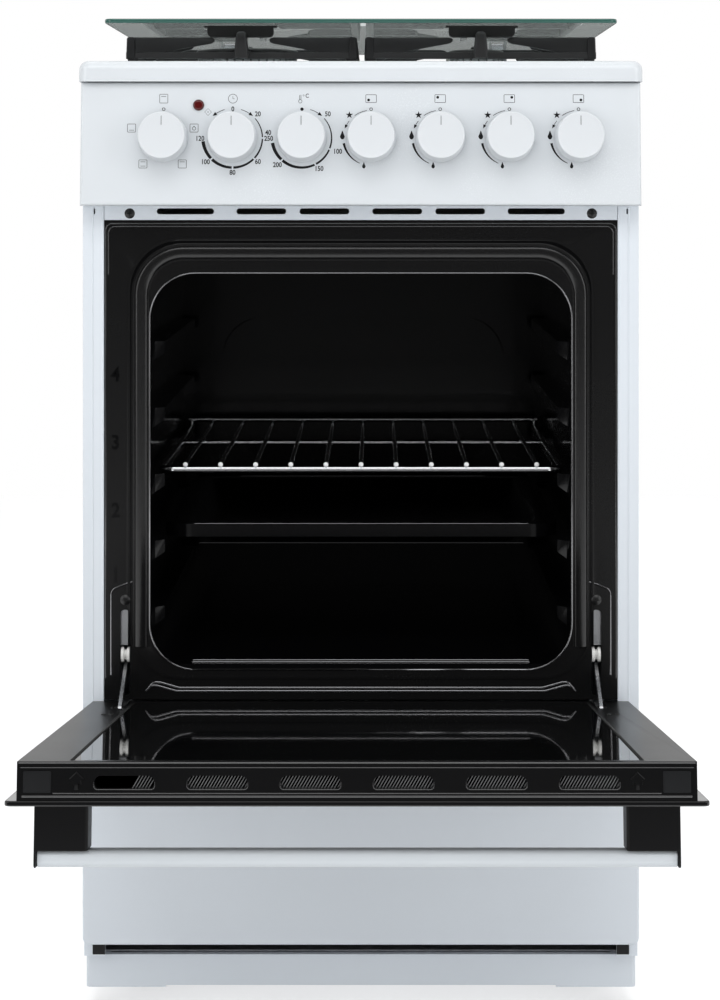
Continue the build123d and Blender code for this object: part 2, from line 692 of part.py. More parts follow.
def base_frame():
    side = (-BASE_HALF, BASE_HALF)
    depth = (BASE_FRONT_Y, BACK_Y - 2 * SHEET)
    top = BASE_FLOOR_Z + BASE_RAIL_H
    inner_x = (side[0] + SHEET, side[1] - SHEET)
    inner_y = (depth[0] + SHEET, depth[1] - SHEET)
    tray = block(side, depth, (BASE_FLOOR_Z, top))
    tray -= block(inner_x, inner_y, (BASE_FLOOR_Z + SHEET, top - SHEET))
    lip_x = (side[0] + BASE_LIP, side[1] - BASE_LIP)
    lip_y = (depth[0] + BASE_LIP, depth[1] - BASE_LIP)
    tray -= block(lip_x, lip_y, (top - 2 * SHEET, top + SHEET))
    for x, y in foot_places():
        tray -= Pos(x, y, BASE_FLOOR_Z) * Cylinder(FOOT_STEM_R + FIT_GAP, 4 * SHEET)
    rail_y = (depth[0] + SHEET, depth[0] + RUNNER_LEN)
    rail = block((BASE_HALF - RUNNER_T, BASE_HALF), rail_y, (top, RUNNER_Z))
    rail += block((BASE_HALF - RUNNER_W, BASE_HALF), rail_y, (RUNNER_Z - RUNNER_T, RUNNER_Z))
    return tray + rail + other_side(rail)


def foot_places():
    half_x = FOOT_SPACING_X / 2
    half_y = FOOT_SPACING_Y / 2
    return [(x, y) for x in (-half_x, half_x) for y in (-half_y, half_y)]


def levelling_feet():
    low = (Align.CENTER, Align.CENTER, Align.MIN)
    foot = Cylinder(FOOT_PAD_R, FOOT_PAD_H, align=low)
    foot += Cylinder(FOOT_STEM_R, FOOT_PAD_H + FOOT_STEM_H, align=low)
    nut = RegularPolygon(FOOT_NUT_R, 6)
    foot += upright(nut, (BASE_FLOOR_Z - FOOT_NUT_H, BASE_FLOOR_Z))
    return group([Pos(x, y, 0) * foot for x, y in foot_places()])


def side_panel():
    """Right side panel, folded inwards along its front, top and rear edges."""
    plate = (SIDE_IN, BODY_HALF)
    fold = (FLANGE_HALF_IN, BODY_HALF)
    back = BACK_Y - SHEET
    top = TOP_FIELD_Z - TOP_SHEET
    low_front = LOW_FLANGE_Y
    panel_front = PANEL_BACK_Y + FIT_GAP
    side = block(plate, (low_front, back), (SIDE_LOW_Z, top))
    side += block(plate, (FRONT_Y, low_front), (FLANGE_LOW_Z, VENT_RAIL_TOP_Z))
    side -= block((0, 2 * BODY_HALF), (FRONT_Y, panel_front), (VENT_RAIL_TOP_Z, TOP_FIELD_Z))
    side += block(fold, (FRONT_Y, FRONT_Y + SHEET), (FLANGE_LOW_Z, VENT_RAIL_TOP_Z))
    side += block(fold, (low_front, low_front + SHEET), (SIDE_LOW_Z, FLANGE_LOW_Z))
    side += block(fold, (FRONT_Y, low_front + SHEET), (FLANGE_LOW_Z - SHEET, FLANGE_LOW_Z))
    side += block(fold, (back - SHEET, back), (SIDE_LOW_Z, top))
    side += block((FLANGE_HALF_IN - 3 * SHEET, BODY_HALF), (panel_front, back), (top - SHEET, top))
    mark = Pos(SIDE_MARK_X, SIDE_MARK_Z) * Rot(0, 0, 90) * SlotOverall(SIDE_MARK_L, SIDE_MARK_W)
    side -= slab(mark, (FRONT_Y - SHEET, FRONT_Y + 2 * SHEET))
    return side


def rear_panel():
    back = (BACK_Y - SHEET, BACK_Y)
    panel = block((-BODY_HALF, BODY_HALF), back, (SIDE_LOW_Z, BODY_TOP_Z))
    cut = (BACK_Y - 2 * SHEET, BACK_Y + SHEET)
    slots = GridLocations(REAR_SLOT_PITCH_X, REAR_SLOT_PITCH_Z, REAR_SLOT_COLUMNS, REAR_SLOT_ROWS)
    for place in slots:
        slot = Pos(0, REAR_SLOT_Z) * place * SlotOverall(REAR_SLOT_L, REAR_SLOT_W)
        panel -= slab(slot, cut)
    panel -= slab(Pos(INLET_X, MANIFOLD_Z) * Circle(INLET_NECK_R + FIT_GAP), cut)
    panel -= slab(Pos(GLAND_X, GLAND_Z) * Circle(GLAND_NECK_R + FIT_GAP), cut)
    return panel


def plinth():
    front = FRONT_Y + PLINTH_SETBACK
    top = PLINTH_TOP_Z
    outer = (-PLINTH_HALF, PLINTH_HALF)
    inner = (outer[0] + SHEET, outer[1] - SHEET)
    depth = (front, front + PLINTH_RETURN)
    body = upright(rounded_front(outer, depth, PLINTH_R), (PLINTH_LOW_Z, top))
    hollow = rounded_front(inner, (front + SHEET, depth[1] + SHEET), PLINTH_R - SHEET)
    body -= upright(hollow, (PLINTH_LOW_Z - SHEET, top - SHEET))
    body -= block(inner, (front + PLINTH_FLANGE, depth[1] + SHEET), (PLINTH_LOW_Z, top + SHEET))
    tab_x = (PLINTH_HALF - PLINTH_TAB_W, PLINTH_HALF - SHEET)
    tab_y = (front + PLINTH_FLANGE, front + PLINTH_FLANGE + PLINTH_TAB_D)
    tab = block(tab_x, (tab_y[0] - SHEET, tab_y[1]), (top - SHEET, top))
    tab -= block(tab_x, (BASE_FRONT_Y - FIT_GAP, BACK_Y), (0, top + SHEET))
    body += tab
    body += other_side(tab)
    middle = (PLINTH_END_W - PLINTH_HALF, PLINTH_HALF - PLINTH_END_W)
    body -= block(middle, (front - SHEET, BACK_Y), (0, PLINTH_LOW_Z + PLINTH_END_DROP))
    return body


def rounded_front(x, y, radius):
    """Plan outline whose two front corners are round."""
    outline = rect(x, y)
    corners = outline.vertices().filter_by(lambda v: abs(v.Y - y[0]) < 0.01)
    return fillet(corners, radius)


def drawer_front():
    z = (DRAWER_LOW_Z, DRAWER_TOP_Z)
    x = (-DRAWER_FRONT_HALF, DRAWER_FRONT_HALF)
    face_y = FRONT_Y - DRAWER_PROUD
    back_y = face_y + DRAWER_FRONT_T
    outline = rect(x, z)
    low_corners = outline.vertices().filter_by(lambda v: abs(v.Y - z[0]) < 0.01)
    skin = slab(fillet(low_corners, DRAWER_CORNER_R), (face_y, back_y))
    front_edges = skin.edges().group_by(Axis.Y)[0]
    skin = fillet(front_edges, DRAWER_EDGE_R)
    inner_x = (x[0] + PANEL_SHEET, x[1] - PANEL_SHEET)
    inner_z = (z[0] + PANEL_SHEET, z[1] - PANEL_SHEET)
    inner = rounded(inner_x, inner_z, DRAWER_CORNER_R - PANEL_SHEET)
    return skin - slab(inner, (face_y + PANEL_SHEET, back_y + SHEET))


def drawer_box():
    """Open steel box behind the drawer front; its front wall reaches the front's back sheet."""
    front = FRONT_Y - DRAWER_PROUD + PANEL_SHEET
    low = RUNNER_Z + REST_GAP
    x = (-DRAWER_BOX_HALF, DRAWER_BOX_HALF)
    y = (front, front + DRAWER_BOX_LEN)
    box = block(x, y, (low, DRAWER_BOX_TOP_Z))
    inner_x = (x[0] + SHEET, x[1] - SHEET)
    inner_y = (y[0] + SHEET, y[1] - SHEET)
    box -= block(inner_x, inner_y, (low + SHEET, DRAWER_BOX_TOP_Z + SHEET))
    return box


def mouth(y, grow=0.0):
    """Oven mouth with its round corners, as a solid to cut with."""
    x = (-MOUTH_HALF - grow, MOUTH_HALF + grow)
    z = (MOUTH_LOW_Z - grow, MOUTH_TOP_Z + grow)
    return slab(rounded(x, z, MOUTH_R + grow), y)


def gasket_outline():
    """U lying on its back: open below, round at the top corners."""
    outer = rounded((-GASKET_OUT, GASKET_OUT), (GASKET_LOW_Z - GASKET_R, GASKET_TOP_OUT_Z), GASKET_R)
    inner_r = GASKET_R - (GASKET_OUT - GASKET_IN)
    inner = rounded((-GASKET_IN, GASKET_IN), (GASKET_LOW_Z - GASKET_R, GASKET_TOP_IN_Z), inner_r)
    return outer - inner - rect((-GASKET_OUT, GASKET_OUT), (0, GASKET_LOW_Z))


def door_gasket():
    return slab(gasket_outline(), (FRONT_Y - GASKET_PROUD, FRONT_Y + GASKET_SINK))


def front_frame():
    y = (FRONT_Y, FRONT_Y + FRAME_T)
    frame = slab(rect((-FRAME_HALF, FRAME_HALF), (FRAME_LOW_Z, FRAME_TOP_Z)), y)
    line_x = (-FRAME_LINE_HALF, FRAME_LINE_HALF)
    line_z = (MOUTH_LOW_Z - FRAME_LINE_BELOW, FRAME_LINE_TOP_Z)
    inner_x = (line_x[0] + FRAME_LINE_W, line_x[1] - FRAME_LINE_W)
    inner_z = (line_z[0] + FRAME_LINE_W, line_z[1] - FRAME_LINE_W)
    line = rounded(line_x, line_z, FRAME_LINE_R) - rounded(inner_x, inner_z, FRAME_LINE_R - FRAME_LINE_W)
    frame += slab(line, (FRONT_Y - FRAME_LINE_H, FRONT_Y + SHEET))
    cut = (FRONT_Y - FRAME_T, FRONT_Y + 2 * FRAME_T)
    frame -= mouth(cut)
    frame -= slab(gasket_outline(), (FRONT_Y - FRAME_T, FRONT_Y + GASKET_SINK))
    pocket_z = (POCKET_LOW_Z, POCKET_TOP_Z)
    for x in (-HINGE_X, HINGE_X):
        pocket = rounded((x - POCKET_W / 2, x + POCKET_W / 2), pocket_z, POCKET_W / 2 - FIT_GAP)
        frame -= slab(pocket, cut)
        frame -= slab(Pos(x, HINGE_SCREW_Z) * Circle(SCREW_SHANK_R), cut)
        frame -= slab(Pos(x, HINGE_SCREW_Z) * Circle(SCREW_HEAD_R + FIT_GAP), (cut[0], FRONT_Y))
    return frame


def vent_rail():
    z = (VENT_RAIL_LOW_Z, VENT_RAIL_TOP_Z)
    x = (-VENT_RAIL_HALF, VENT_RAIL_HALF)
    y = (FRONT_Y, FRONT_Y + VENT_RAIL_D)
    rail = block(x, y, z)
    rail -= block(x, (y[0] + SHEET, y[1] + SHEET), (z[0] + SHEET, z[1] - SHEET))
    cut = (FRONT_Y - SHEET, FRONT_Y + 2 * SHEET)
    slot = SlotOverall(VENT_SLOT_L, VENT_SLOT_H)
    outer_slot = SlotOverall(VENT_OUTER_SLOT_L, VENT_SLOT_H)
    slots = [(VENT_SLOT_SHARE_1, slot), (VENT_SLOT_SHARE_2, slot), (VENT_SLOT_SHARE_3, outer_slot)]
    for share, shape in slots:
        for side in (-1, 1):
            rail -= slab(Pos(side * share * RAIL_SCREW_X, VENT_SLOT_Z) * shape, cut)
    for x in (-RAIL_SCREW_X, RAIL_SCREW_X):
        rail -= slab(Pos(x, RAIL_SCREW_Z) * Circle(SCREW_SHANK_R), cut)
    return rail


def body_screws():
    """Cross-head screws: two in the vent rail and one over each hinge."""
    ball_r = (SCREW_HEAD_R ** 2 + SCREW_HEAD_H ** 2) / (2 * SCREW_HEAD_H)
    head = Pos(0, 0, SCREW_HEAD_H - ball_r) * Sphere(ball_r)
    head &= Pos(0, 0, SCREW_HEAD_H / 2) * Cylinder(SCREW_HEAD_R, SCREW_HEAD_H)
    head += Pos(0, 0, -SCREW_LEN / 2) * Cylinder(SCREW_SHANK_R, SCREW_LEN)
    for turn in (0, 90):
        wing = Box(SCREW_CROSS, SCREW_CROSS_W, 2 * SCREW_CROSS_D)
        head -= Pos(0, 0, SCREW_HEAD_H) * Rot(0, 0, turn) * wing
    head = Rot(90, 0, 0) * head
    places = [(RAIL_SCREW_X, RAIL_SCREW_Z), (HINGE_X, HINGE_SCREW_Z)]
    return group([Pos(side * x, FRONT_Y, z) * head for x, z in places for side in (-1, 1)])


def cavity_shell(grow):
    x = (-CAVITY_HALF - grow, CAVITY_HALF + grow)
    z = (CAVITY_LOW_Z - grow, CAVITY_TOP_Z + grow)
    return slab(rounded(x, z, CAVITY_R + grow), (FRONT_Y + FRAME_T, CAVITY_BACK_Y + grow))


def guide_bump(top, shrink):
    """Wall bump that a shelf slides on: a flat top, with its end and underside sloping to the wall."""
    reach = GUIDE_REACH - shrink
    low = top - GUIDE_H + shrink
    high = top - shrink
    root = CAVITY_HALF + SHEET + shrink
    tip = CAVITY_HALF - reach
    outline = Polyline((root, high), (tip, high), (tip, low + GUIDE_SLOPE), (root, low), close=True)
    y = (GUIDE_FRONT_Y + shrink, GUIDE_BACK_Y - shrink)
    bump = slab(make_face(outline), y)
    return chamfer(bump.edges().filter_by(Axis.Z).group_by(Axis.X)[0], GUIDE_END_SLOPE)


def rear_rib():
    """Raised arch pressed into the cavity's rear wall."""
    x = (-REAR_RIB_HALF, REAR_RIB_HALF)
    z = (REAR_RIB_LOW_Z - REAR_RIB_R, REAR_RIB_TOP_Z)
    inner_x = (x[0] + REAR_RIB_W, x[1] - REAR_RIB_W)
    inner_z = (z[0], z[1] - REAR_RIB_W)
    arch = rounded(x, z, REAR_RIB_R) - rounded(inner_x, inner_z, REAR_RIB_R - REAR_RIB_W)
    arch -= rect(x, (0, REAR_RIB_LOW_Z))
    return slab(arch, (CAVITY_BACK_Y - REAR_RIB_PROUD, CAVITY_BACK_Y + SHEET / 2))


def cavity_liner():
    flange_x = (-CAVITY_HALF - CAVITY_FLANGE, CAVITY_HALF + CAVITY_FLANGE)
    flange_z = (CAVITY_LOW_Z - CAVITY_FLANGE, CAVITY_TOP_Z + CAVITY_FLANGE)
    flange_y = (FRONT_Y + FRAME_T, FRONT_Y + FRAME_T + SHEET)
    liner = cavity_shell(SHEET)
    liner += slab(rounded(flange_x, flange_z, CAVITY_R), flange_y)
    liner -= cavity_shell(0.0)
    guide_tops = [GUIDE_LOW_Z + number * GUIDE_PITCH for number in range(GUIDE_COUNT)]
    for top in guide_tops:
        bump = guide_bump(top, 0.0)
        liner += bump
        liner += other_side(bump)
    for top in guide_tops:
        hollow = guide_bump(top, SHEET)
        liner -= hollow
        liner -= other_side(hollow)
    liner += rear_rib()
    liner -= Pos(LAMP_X, LAMP_Y, CAVITY_TOP_Z) * Cylinder(LAMP_R + FIT_GAP, 4 * SHEET)
    rear = (CAVITY_BACK_Y - 2 * SHEET, CAVITY_BACK_Y + 2 * SHEET)
    for x in (-ELEMENT_TAIL_X, ELEMENT_TAIL_X):
        liner -= slab(Pos(x, TOP_ELEMENT_Z) * Circle(ELEMENT_R + FIT_GAP), rear)
    return liner


def insulation():
    """Wool blanket wrapped over the top, sides and back of the cavity."""
    near = CAVITY_HALF + SHEET + FIT_GAP
    top = CAVITY_TOP_Z + SHEET + FIT_GAP
    back = CAVITY_BACK_Y + SHEET + FIT_GAP
    x = (-near - WOOL_T, near + WOOL_T)
    wool = block(x, (WOOL_FRONT_Y, back + WOOL_T), (CAVITY_LOW_Z, top + WOOL_T))
    wool -= block((-near, near), (WOOL_FRONT_Y - WOOL_T, back), (CAVITY_LOW_Z - WOOL_T, top))
    wool -= Pos(LAMP_X, LAMP_Y, top) * Cylinder(LAMP_R + WOOL_HOLE_GAP, 4 * WOOL_T)
    rear = (back - SHEET, back + 2 * WOOL_T)
    for x in (-ELEMENT_TAIL_X, ELEMENT_TAIL_X):
        wool -= slab(Pos(x, TOP_ELEMENT_Z) * Circle(WOOL_HOLE_GAP), rear)
    return wool


def element(z, tail_x, tail_y):
    """Tubular heater: a flat serpentine whose two ends leave to the rear."""
    low = ELEMENT_FRONT_Y
    high = ELEMENT_BACK_Y
    inner = tail_x + ELEMENT_LOOP
    points = [
        (-tail_x, tail_y, z),
        (-tail_x, low + ELEMENT_LOOP, z),
        (-inner, low + ELEMENT_LOOP, z),
        (-inner, high, z),
        (-ELEMENT_HALF, high, z),
        (-ELEMENT_HALF, low, z),
        (ELEMENT_HALF, low, z),
        (ELEMENT_HALF, high, z),
        (inner, high, z),
        (inner, low + ELEMENT_LOOP, z),
        (tail_x, low + ELEMENT_LOOP, z),
        (tail_x, tail_y, z),
    ]
    return bent_rod(points, ELEMENT_R, ELEMENT_BEND)


def top_element():
    """Upper heater, carried by its ends in the rear wall and by two hangers under the ceiling."""
    heater = element(TOP_ELEMENT_Z, ELEMENT_TAIL_X, CAVITY_BACK_Y + SHEET + ELEMENT_TAIL_OUT)
    return joined([heater] + hangers((TOP_ELEMENT_Z, CAVITY_TOP_Z)))


def hangers(z):
    """Two upright strips from a heater's outer runs to a wall above it."""
    y = (HANGER_Y - HANGER_HALF_W, HANGER_Y + HANGER_HALF_W)
    strip = block((ELEMENT_HALF - HANGER_HALF_T, ELEMENT_HALF + HANGER_HALF_T), y, z)
    return [strip, other_side(strip)]


def bottom_element():
    """Lower heater, hung from the underside of the cavity floor by two clips."""
    heater = element(BOTTOM_ELEMENT_Z, ELEMENT_TAIL_X, CAVITY_BACK_Y + ELEMENT_TAIL_OUT)
    return joined([heater] + hangers((BOTTOM_ELEMENT_Z, CAVITY_LOW_Z - SHEET)))


def oven_lamp():
    """Round lamp in the ceiling: holder above, glass cover below."""
    low = (Align.CENTER, Align.CENTER, Align.MIN)
    z = CAVITY_TOP_Z - LAMP_COVER_H
    lamp = Cylinder(LAMP_R, LAMP_COVER_H + LAMP_HOLDER_H, align=low)
    lamp = fillet(lamp.edges().group_by(Axis.Z)[0], LAMP_EDGE_R)
    lamp += Pos(0, 0, LAMP_COVER_H + SHEET) * Cylinder(LAMP_R + LAMP_FLANGE, 2 * SHEET, align=low)
    return Pos(LAMP_X, LAMP_Y, z) * lamp


def turned(y, z, angle):
    """Where a point of the closed door goes when the door has swung down by an angle."""
    across_y = y - DOOR_PIVOT_Y
    up_z = z - DOOR_PIVOT_Z
    turn = radians(angle)
    new_y = DOOR_PIVOT_Y + across_y * cos(turn) - up_z * sin(turn)
    new_z = DOOR_PIVOT_Z + across_y * sin(turn) + up_z * cos(turn)
    return new_y, new_z


def opened(shape):
    """The closed door's piece, swung down to its rest place."""
    return shape.rotate(Axis((0, DOOR_PIVOT_Y, DOOR_PIVOT_Z), (1, 0, 0)), DOOR_OPEN_ANGLE)


def hinge_housing():
    """Right hinge: a folded channel behind the front frame, its lug, the pivot pin and the roller's pin."""
    x = (HINGE_X - HOUSING_HALF, HINGE_X + HOUSING_HALF)
    inner_x = (x[0] + HOUSING_T, x[1] - HOUSING_T)
    y = (FRONT_Y + FRAME_T, HOUSING_BACK_Y)
    z = (HOUSING_LOW_Z, HOUSING_TOP_Z)
    housing = block(x, y, z)
    housing -= block(inner_x, (y[0] - SHEET, y[1] - HOUSING_T), (z[0] + HOUSING_T, z[1] + SHEET))
    housing += block(x, (y[0], y[0] + HOUSING_PLATE_T), (CATCH_LOW_Z, z[1]))
    screw_y = (y[0] - SHEET, y[0] + 2 * HOUSING_PLATE_T)
    housing -= slab(Pos(HINGE_X, HINGE_SCREW_Z) * Circle(SCREW_SHANK_R), screw_y)
    lug_z = (DOOR_PIVOT_Z - LUG_R, DOOR_PIVOT_Z + LUG_R)
    lug_x = (HINGE_X - LUG_T / 2, HINGE_X + LUG_T / 2)
    lug = across(rect((DOOR_PIVOT_Y, LUG_BACK_Y), lug_z), lug_x)
    lug += across(Pos(DOOR_PIVOT_Y, DOOR_PIVOT_Z) * Circle(LUG_R), lug_x)
    housing += lug
    housing += block(x, (LUG_BACK_Y - LUG_BLOCK_L, LUG_BACK_Y), (z[0], lug_z[1]))
    pin_ends = [(HINGE_X + side * HINGE_PIN_HALF, DOOR_PIVOT_Y, DOOR_PIVOT_Z) for side in (-1, 1)]
    housing += rod(pin_ends[0], pin_ends[1], HINGE_PIN_R)
    housing += rod((x[0], ROLLER_Y, ROLLER_Z), (x[1], ROLLER_Y, ROLLER_Z), ROLLER_PIN_R)
    return housing


def hinge_rollers():
    """Waisted roller on each hinge; the door link passes under it."""
    half = ROLLER_W / 2
    waist = half - ROLLER_TYRE_W - ROLLER_SLOPE_W
    bore = ROLLER_PIN_R + RUN_GAP
    profile = Polyline(
        (-half, bore),
        (-half, ROLLER_R),
        (-half + ROLLER_TYRE_W, ROLLER_R),
        (-waist, ROLLER_WAIST_R),
        (waist, ROLLER_WAIST_R),
        (half - ROLLER_TYRE_W, ROLLER_R),
        (half, ROLLER_R),
        (half, bore),
        close=True,
    )
    roller = revolve(make_face(profile), Axis.X)
    return group([Pos(side * HINGE_X, ROLLER_Y, ROLLER_Z) * roller for side in (-1, 1)])


def door_link():
    """Right link in its rest place: it runs back and up from its pin in the door, below the roller."""
    pin_y, pin_z = turned(LINK_PIN_Y, LINK_PIN_Z, DOOR_OPEN_ANGLE)
    to_y = ROLLER_Y - pin_y
    to_z = ROLLER_Z - pin_z
    offset = ROLLER_R + LINK_ROLLER_GAP + LINK_H / 2
    angle = degrees(atan2(to_z, to_y) - asin(offset / hypot(to_y, to_z)))
    outline = Pos(LINK_LEN / 2, 0) * SlotCenterToCenter(LINK_LEN, LINK_H)
    outline -= Circle(LINK_PIN_R + RUN_GAP)
    outline = Pos(pin_y, pin_z) * Rot(0, 0, angle) * outline
    return across(outline, (HINGE_X - LINK_T / 2, HINGE_X + LINK_T / 2))


def door_frame():
    """Pressed frame between the two panes, modelled with the door closed."""
    y = (DOOR_FRAME_FRONT_Y, DOOR_BACK_Y)
    x = (-DOOR_FRAME_HALF, DOOR_FRAME_HALF)
    frame = block(x, y, (DOOR_LOW_Z, DOOR_TOP_Z))
    pane_x = (-INNER_GLASS_HALF, INNER_GLASS_HALF)
    pane_z = (INNER_GLASS_LOW_Z, INNER_GLASS_TOP_Z)
    frame -= slab(rounded(pane_x, pane_z, GLASS_CORNER_R), (GLASS_BACK_Y, DOOR_BACK_Y + SHEET))
    hole_x = (pane_x[0] + GLASS_LEDGE, pane_x[1] - GLASS_LEDGE)
    hole_z = (pane_z[0] + GLASS_LEDGE, pane_z[1] - GLASS_LEDGE)
    frame -= slab(rounded(hole_x, hole_z, GLASS_CORNER_R), (y[0] - SHEET, y[1]))
    rail = (INNER_GLASS_HALF + DOOR_WALL, DOOR_FRAME_HALF - DOOR_WALL)
    rail_hollow = block(rail, (y[0] - SHEET, y[1] - DOOR_WALL), hole_z)
    frame -= rail_hollow
    frame -= other_side(rail_hollow)
    vent = SlotOverall(TOP_EDGE_VENT_L, TOP_EDGE_VENT_FAR - TOP_EDGE_VENT_NEAR)
    vent_y = DOOR_BACK_Y - (TOP_EDGE_VENT_NEAR + TOP_EDGE_VENT_FAR) / 2
    for place in GridLocations(TOP_EDGE_VENT_PITCH, TOP_EDGE_VENT_L, TOP_EDGE_VENTS, 1):
        frame -= upright(Pos(0, vent_y) * place * vent, (hole_z[1] - SHEET, DOOR_TOP_Z + SHEET))
    hinge = hinge_fork()
    for fork, slot in (hinge, [other_side(shape) for shape in hinge]):
        frame += fork
        frame -= slot
    pin = link_pin()
    frame += pin
    frame += other_side(pin)
    return frame


def hinge_fork():
    """Both cheeks of the right hinge's slot, and the slot with the pivot bore that is cut from them."""
    low = (DOOR_LOW_Z, DOOR_SLOT_TOP_Z)
    slot_x = (HINGE_X - DOOR_SLOT_HALF, HINGE_X + DOOR_SLOT_HALF)
    cheek_x = (slot_x[0] - DOOR_CHEEK_T, slot_x[1] + DOOR_CHEEK_T)
    fork = block(cheek_x, (DOOR_FRAME_FRONT_Y, DOOR_BACK_Y), low)
    cut_z = (DOOR_LOW_Z - SHEET, DOOR_SLOT_TOP_Z - DOOR_CHEEK_T)
    slot = block(slot_x, (DOOR_SLOT_FRONT_Y, DOOR_BACK_Y + SHEET), cut_z)
    bore_ends = [(x, DOOR_PIVOT_Y, DOOR_PIVOT_Z) for x in cheek_x]
    slot += rod(bore_ends[0], bore_ends[1], HINGE_PIN_R + RUN_GAP)
    return fork, slot


def link_pin():
    half = DOOR_SLOT_HALF + DOOR_CHEEK_T
    ends = [(HINGE_X + side * half, LINK_PIN_Y, LINK_PIN_Z) for side in (-1, 1)]
    return rod(ends[0], ends[1], LINK_PIN_R)


def door_inner_glass():
    x = (-INNER_GLASS_HALF + FIT_GAP, INNER_GLASS_HALF - FIT_GAP)
    z = (INNER_GLASS_LOW_Z + FIT_GAP, INNER_GLASS_TOP_Z - FIT_GAP)
    return slab(rounded(x, z, GLASS_CORNER_R), (GLASS_BACK_Y, DOOR_BACK_Y))


def door_outer_glass():
    outline = rounded((-OUTER_GLASS_HALF, OUTER_GLASS_HALF), (DOOR_LOW_Z, DOOR_TOP_Z), GLASS_CORNER_R)
    return slab(outline, (OUTER_FACE_Y, DOOR_FRAME_FRONT_Y))


def handle_bracket():
    """Right bracket, with a thin cheek that covers the bar's end."""
    bar_back = OUTER_FACE_Y - HANDLE_FINGER_GAP
    bar_front = bar_back - HANDLE_BAR_T
    rise = (HANDLE_BRACKET_H - HANDLE_BAR_H) / 2
    z = (HANDLE_LOW_Z - rise, HANDLE_LOW_Z + HANDLE_BAR_H + rise)
    body = block((HANDLE_BRACKET_IN, HANDLE_BRACKET_OUT), (bar_back, OUTER_FACE_Y), z)
    inner_edges = body.edges().filter_by(Axis.Y).group_by(Axis.X)[0]
    body = fillet(inner_edges, HANDLE_CORNER_R)
    cheek_x = (HANDLE_BRACKET_OUT - HANDLE_CHEEK_T, HANDLE_BRACKET_OUT)
    cheek = block(cheek_x, (bar_front, bar_back), z)
    cheek = fillet(cheek.edges().filter_by(Axis.X).group_by(Axis.Y)[0], HANDLE_CORNER_R)
    return body + cheek


def handle_bar():
    bar_back = OUTER_FACE_Y - HANDLE_FINGER_GAP
    z = (HANDLE_LOW_Z, HANDLE_LOW_Z + HANDLE_BAR_H)
    section = rounded((bar_back - HANDLE_BAR_T, bar_back), z, HANDLE_BAR_R)
    return across(section, (-HANDLE_BAR_HALF, HANDLE_BAR_HALF))


def wire_shelf():
    """Chromed wire shelf: a bent rim rod, a middle bar, wires on top and a raised stop at the rear."""
    z = SHELF_SEAT_Z + REST_GAP + SHELF_ROD_R
    top = z + SHELF_BACK_RISE
    rim_end = top - SHELF_BAR_R / 2
    rim = [
        (-SHELF_HALF, SHELF_BACK_Y, rim_end),
        (-SHELF_HALF, SHELF_BACK_Y, z),
        (-SHELF_HALF, SHELF_FRONT_Y, z),
        (SHELF_HALF, SHELF_FRONT_Y, z),
        (SHELF_HALF, SHELF_BACK_Y, z),
        (SHELF_HALF, SHELF_BACK_Y, rim_end),
    ]
    bends = [SHELF_REAR_BEND_R, SHELF_BEND_R, SHELF_BEND_R, SHELF_REAR_BEND_R]
    parts = [bent_rod(rim, SHELF_ROD_R, bends)]
    stop_half = SHELF_HALF + SHELF_ROD_R
    parts.append(rod((-stop_half, SHELF_BACK_Y, top), (stop_half, SHELF_BACK_Y, top), SHELF_BAR_R))
    parts.append(rod((-SHELF_HALF, SHELF_MID_Y, z), (SHELF_HALF, SHELF_MID_Y, z), SHELF_BAR_R))
    wire_z = z + SHELF_WIRE_UP
    wire_y = (SHELF_FRONT_Y - SHELF_WIRE_FRONT, SHELF_BACK_Y + SHELF_WIRE_BACK)
    for number in range(SHELF_WIRES):
        x = (number - (SHELF_WIRES - 1) / 2) * SHELF_PITCH
        parts.append(rod((x, wire_y[0], wire_z), (x, wire_y[1], wire_z), SHELF_WIRE_R))
    return joined(parts)


def tray_plan(shrink, radius):
    x = (-TRAY_HALF + shrink, TRAY_HALF - shrink)
    y = (TRAY_FRONT_Y + shrink, TRAY_BACK_Y - shrink)
    return rounded(x, y, radius)


def baking_tray():
    """Enamelled tray: a sloping well inside a flat rim that turns down all round."""
    skirt_low = TRAY_SEAT_Z + REST_GAP
    rim_low = TRAY_RIM_TOP_Z - TRAY_RIM_T
    rim = upright(tray_plan(0.0, TRAY_CORNER_R), (skirt_low, TRAY_RIM_TOP_Z))
    under = tray_plan(TRAY_WALL, TRAY_CORNER_R - TRAY_WALL)
    tray = rim - upright(under, (skirt_low - SHEET, rim_low))
    well = tray_well(0.0, TRAY_WELL_Z, TRAY_RIM_TOP_Z)
    hollow = tray_well(TRAY_WALL, TRAY_WELL_Z + TRAY_WALL, TRAY_RIM_TOP_Z)
    return tray + well - hollow


def tray_well(shrink, low, high):
    bottom = tray_plan(TRAY_RIM_W + TRAY_WELL_DRAFT + shrink, TRAY_WELL_R)
    top = tray_plan(TRAY_RIM_W + shrink, TRAY_WELL_R)
    return loft([Plane.XY.offset(low) * bottom, Plane.XY.offset(high) * top])


def panel_front_y(z):
    """Front of the leaning control panel at a height."""
    return FRONT_Y - PANEL_LOW_PROUD + (z - PANEL_LOW_Z) * tan(radians(PANEL_LEAN))


def panel_plane(x, z):
    """Plane on the panel's face at a dial, looking outwards."""
    lean = radians(PANEL_LEAN)
    return Plane(origin=(x, panel_front_y(z), z), x_dir=(1, 0, 0), z_dir=(0, -cos(lean), sin(lean)))


def dial_plane(number):
    return panel_plane(DIAL_X0 + DIAL_PITCH * number, DIAL_Z)


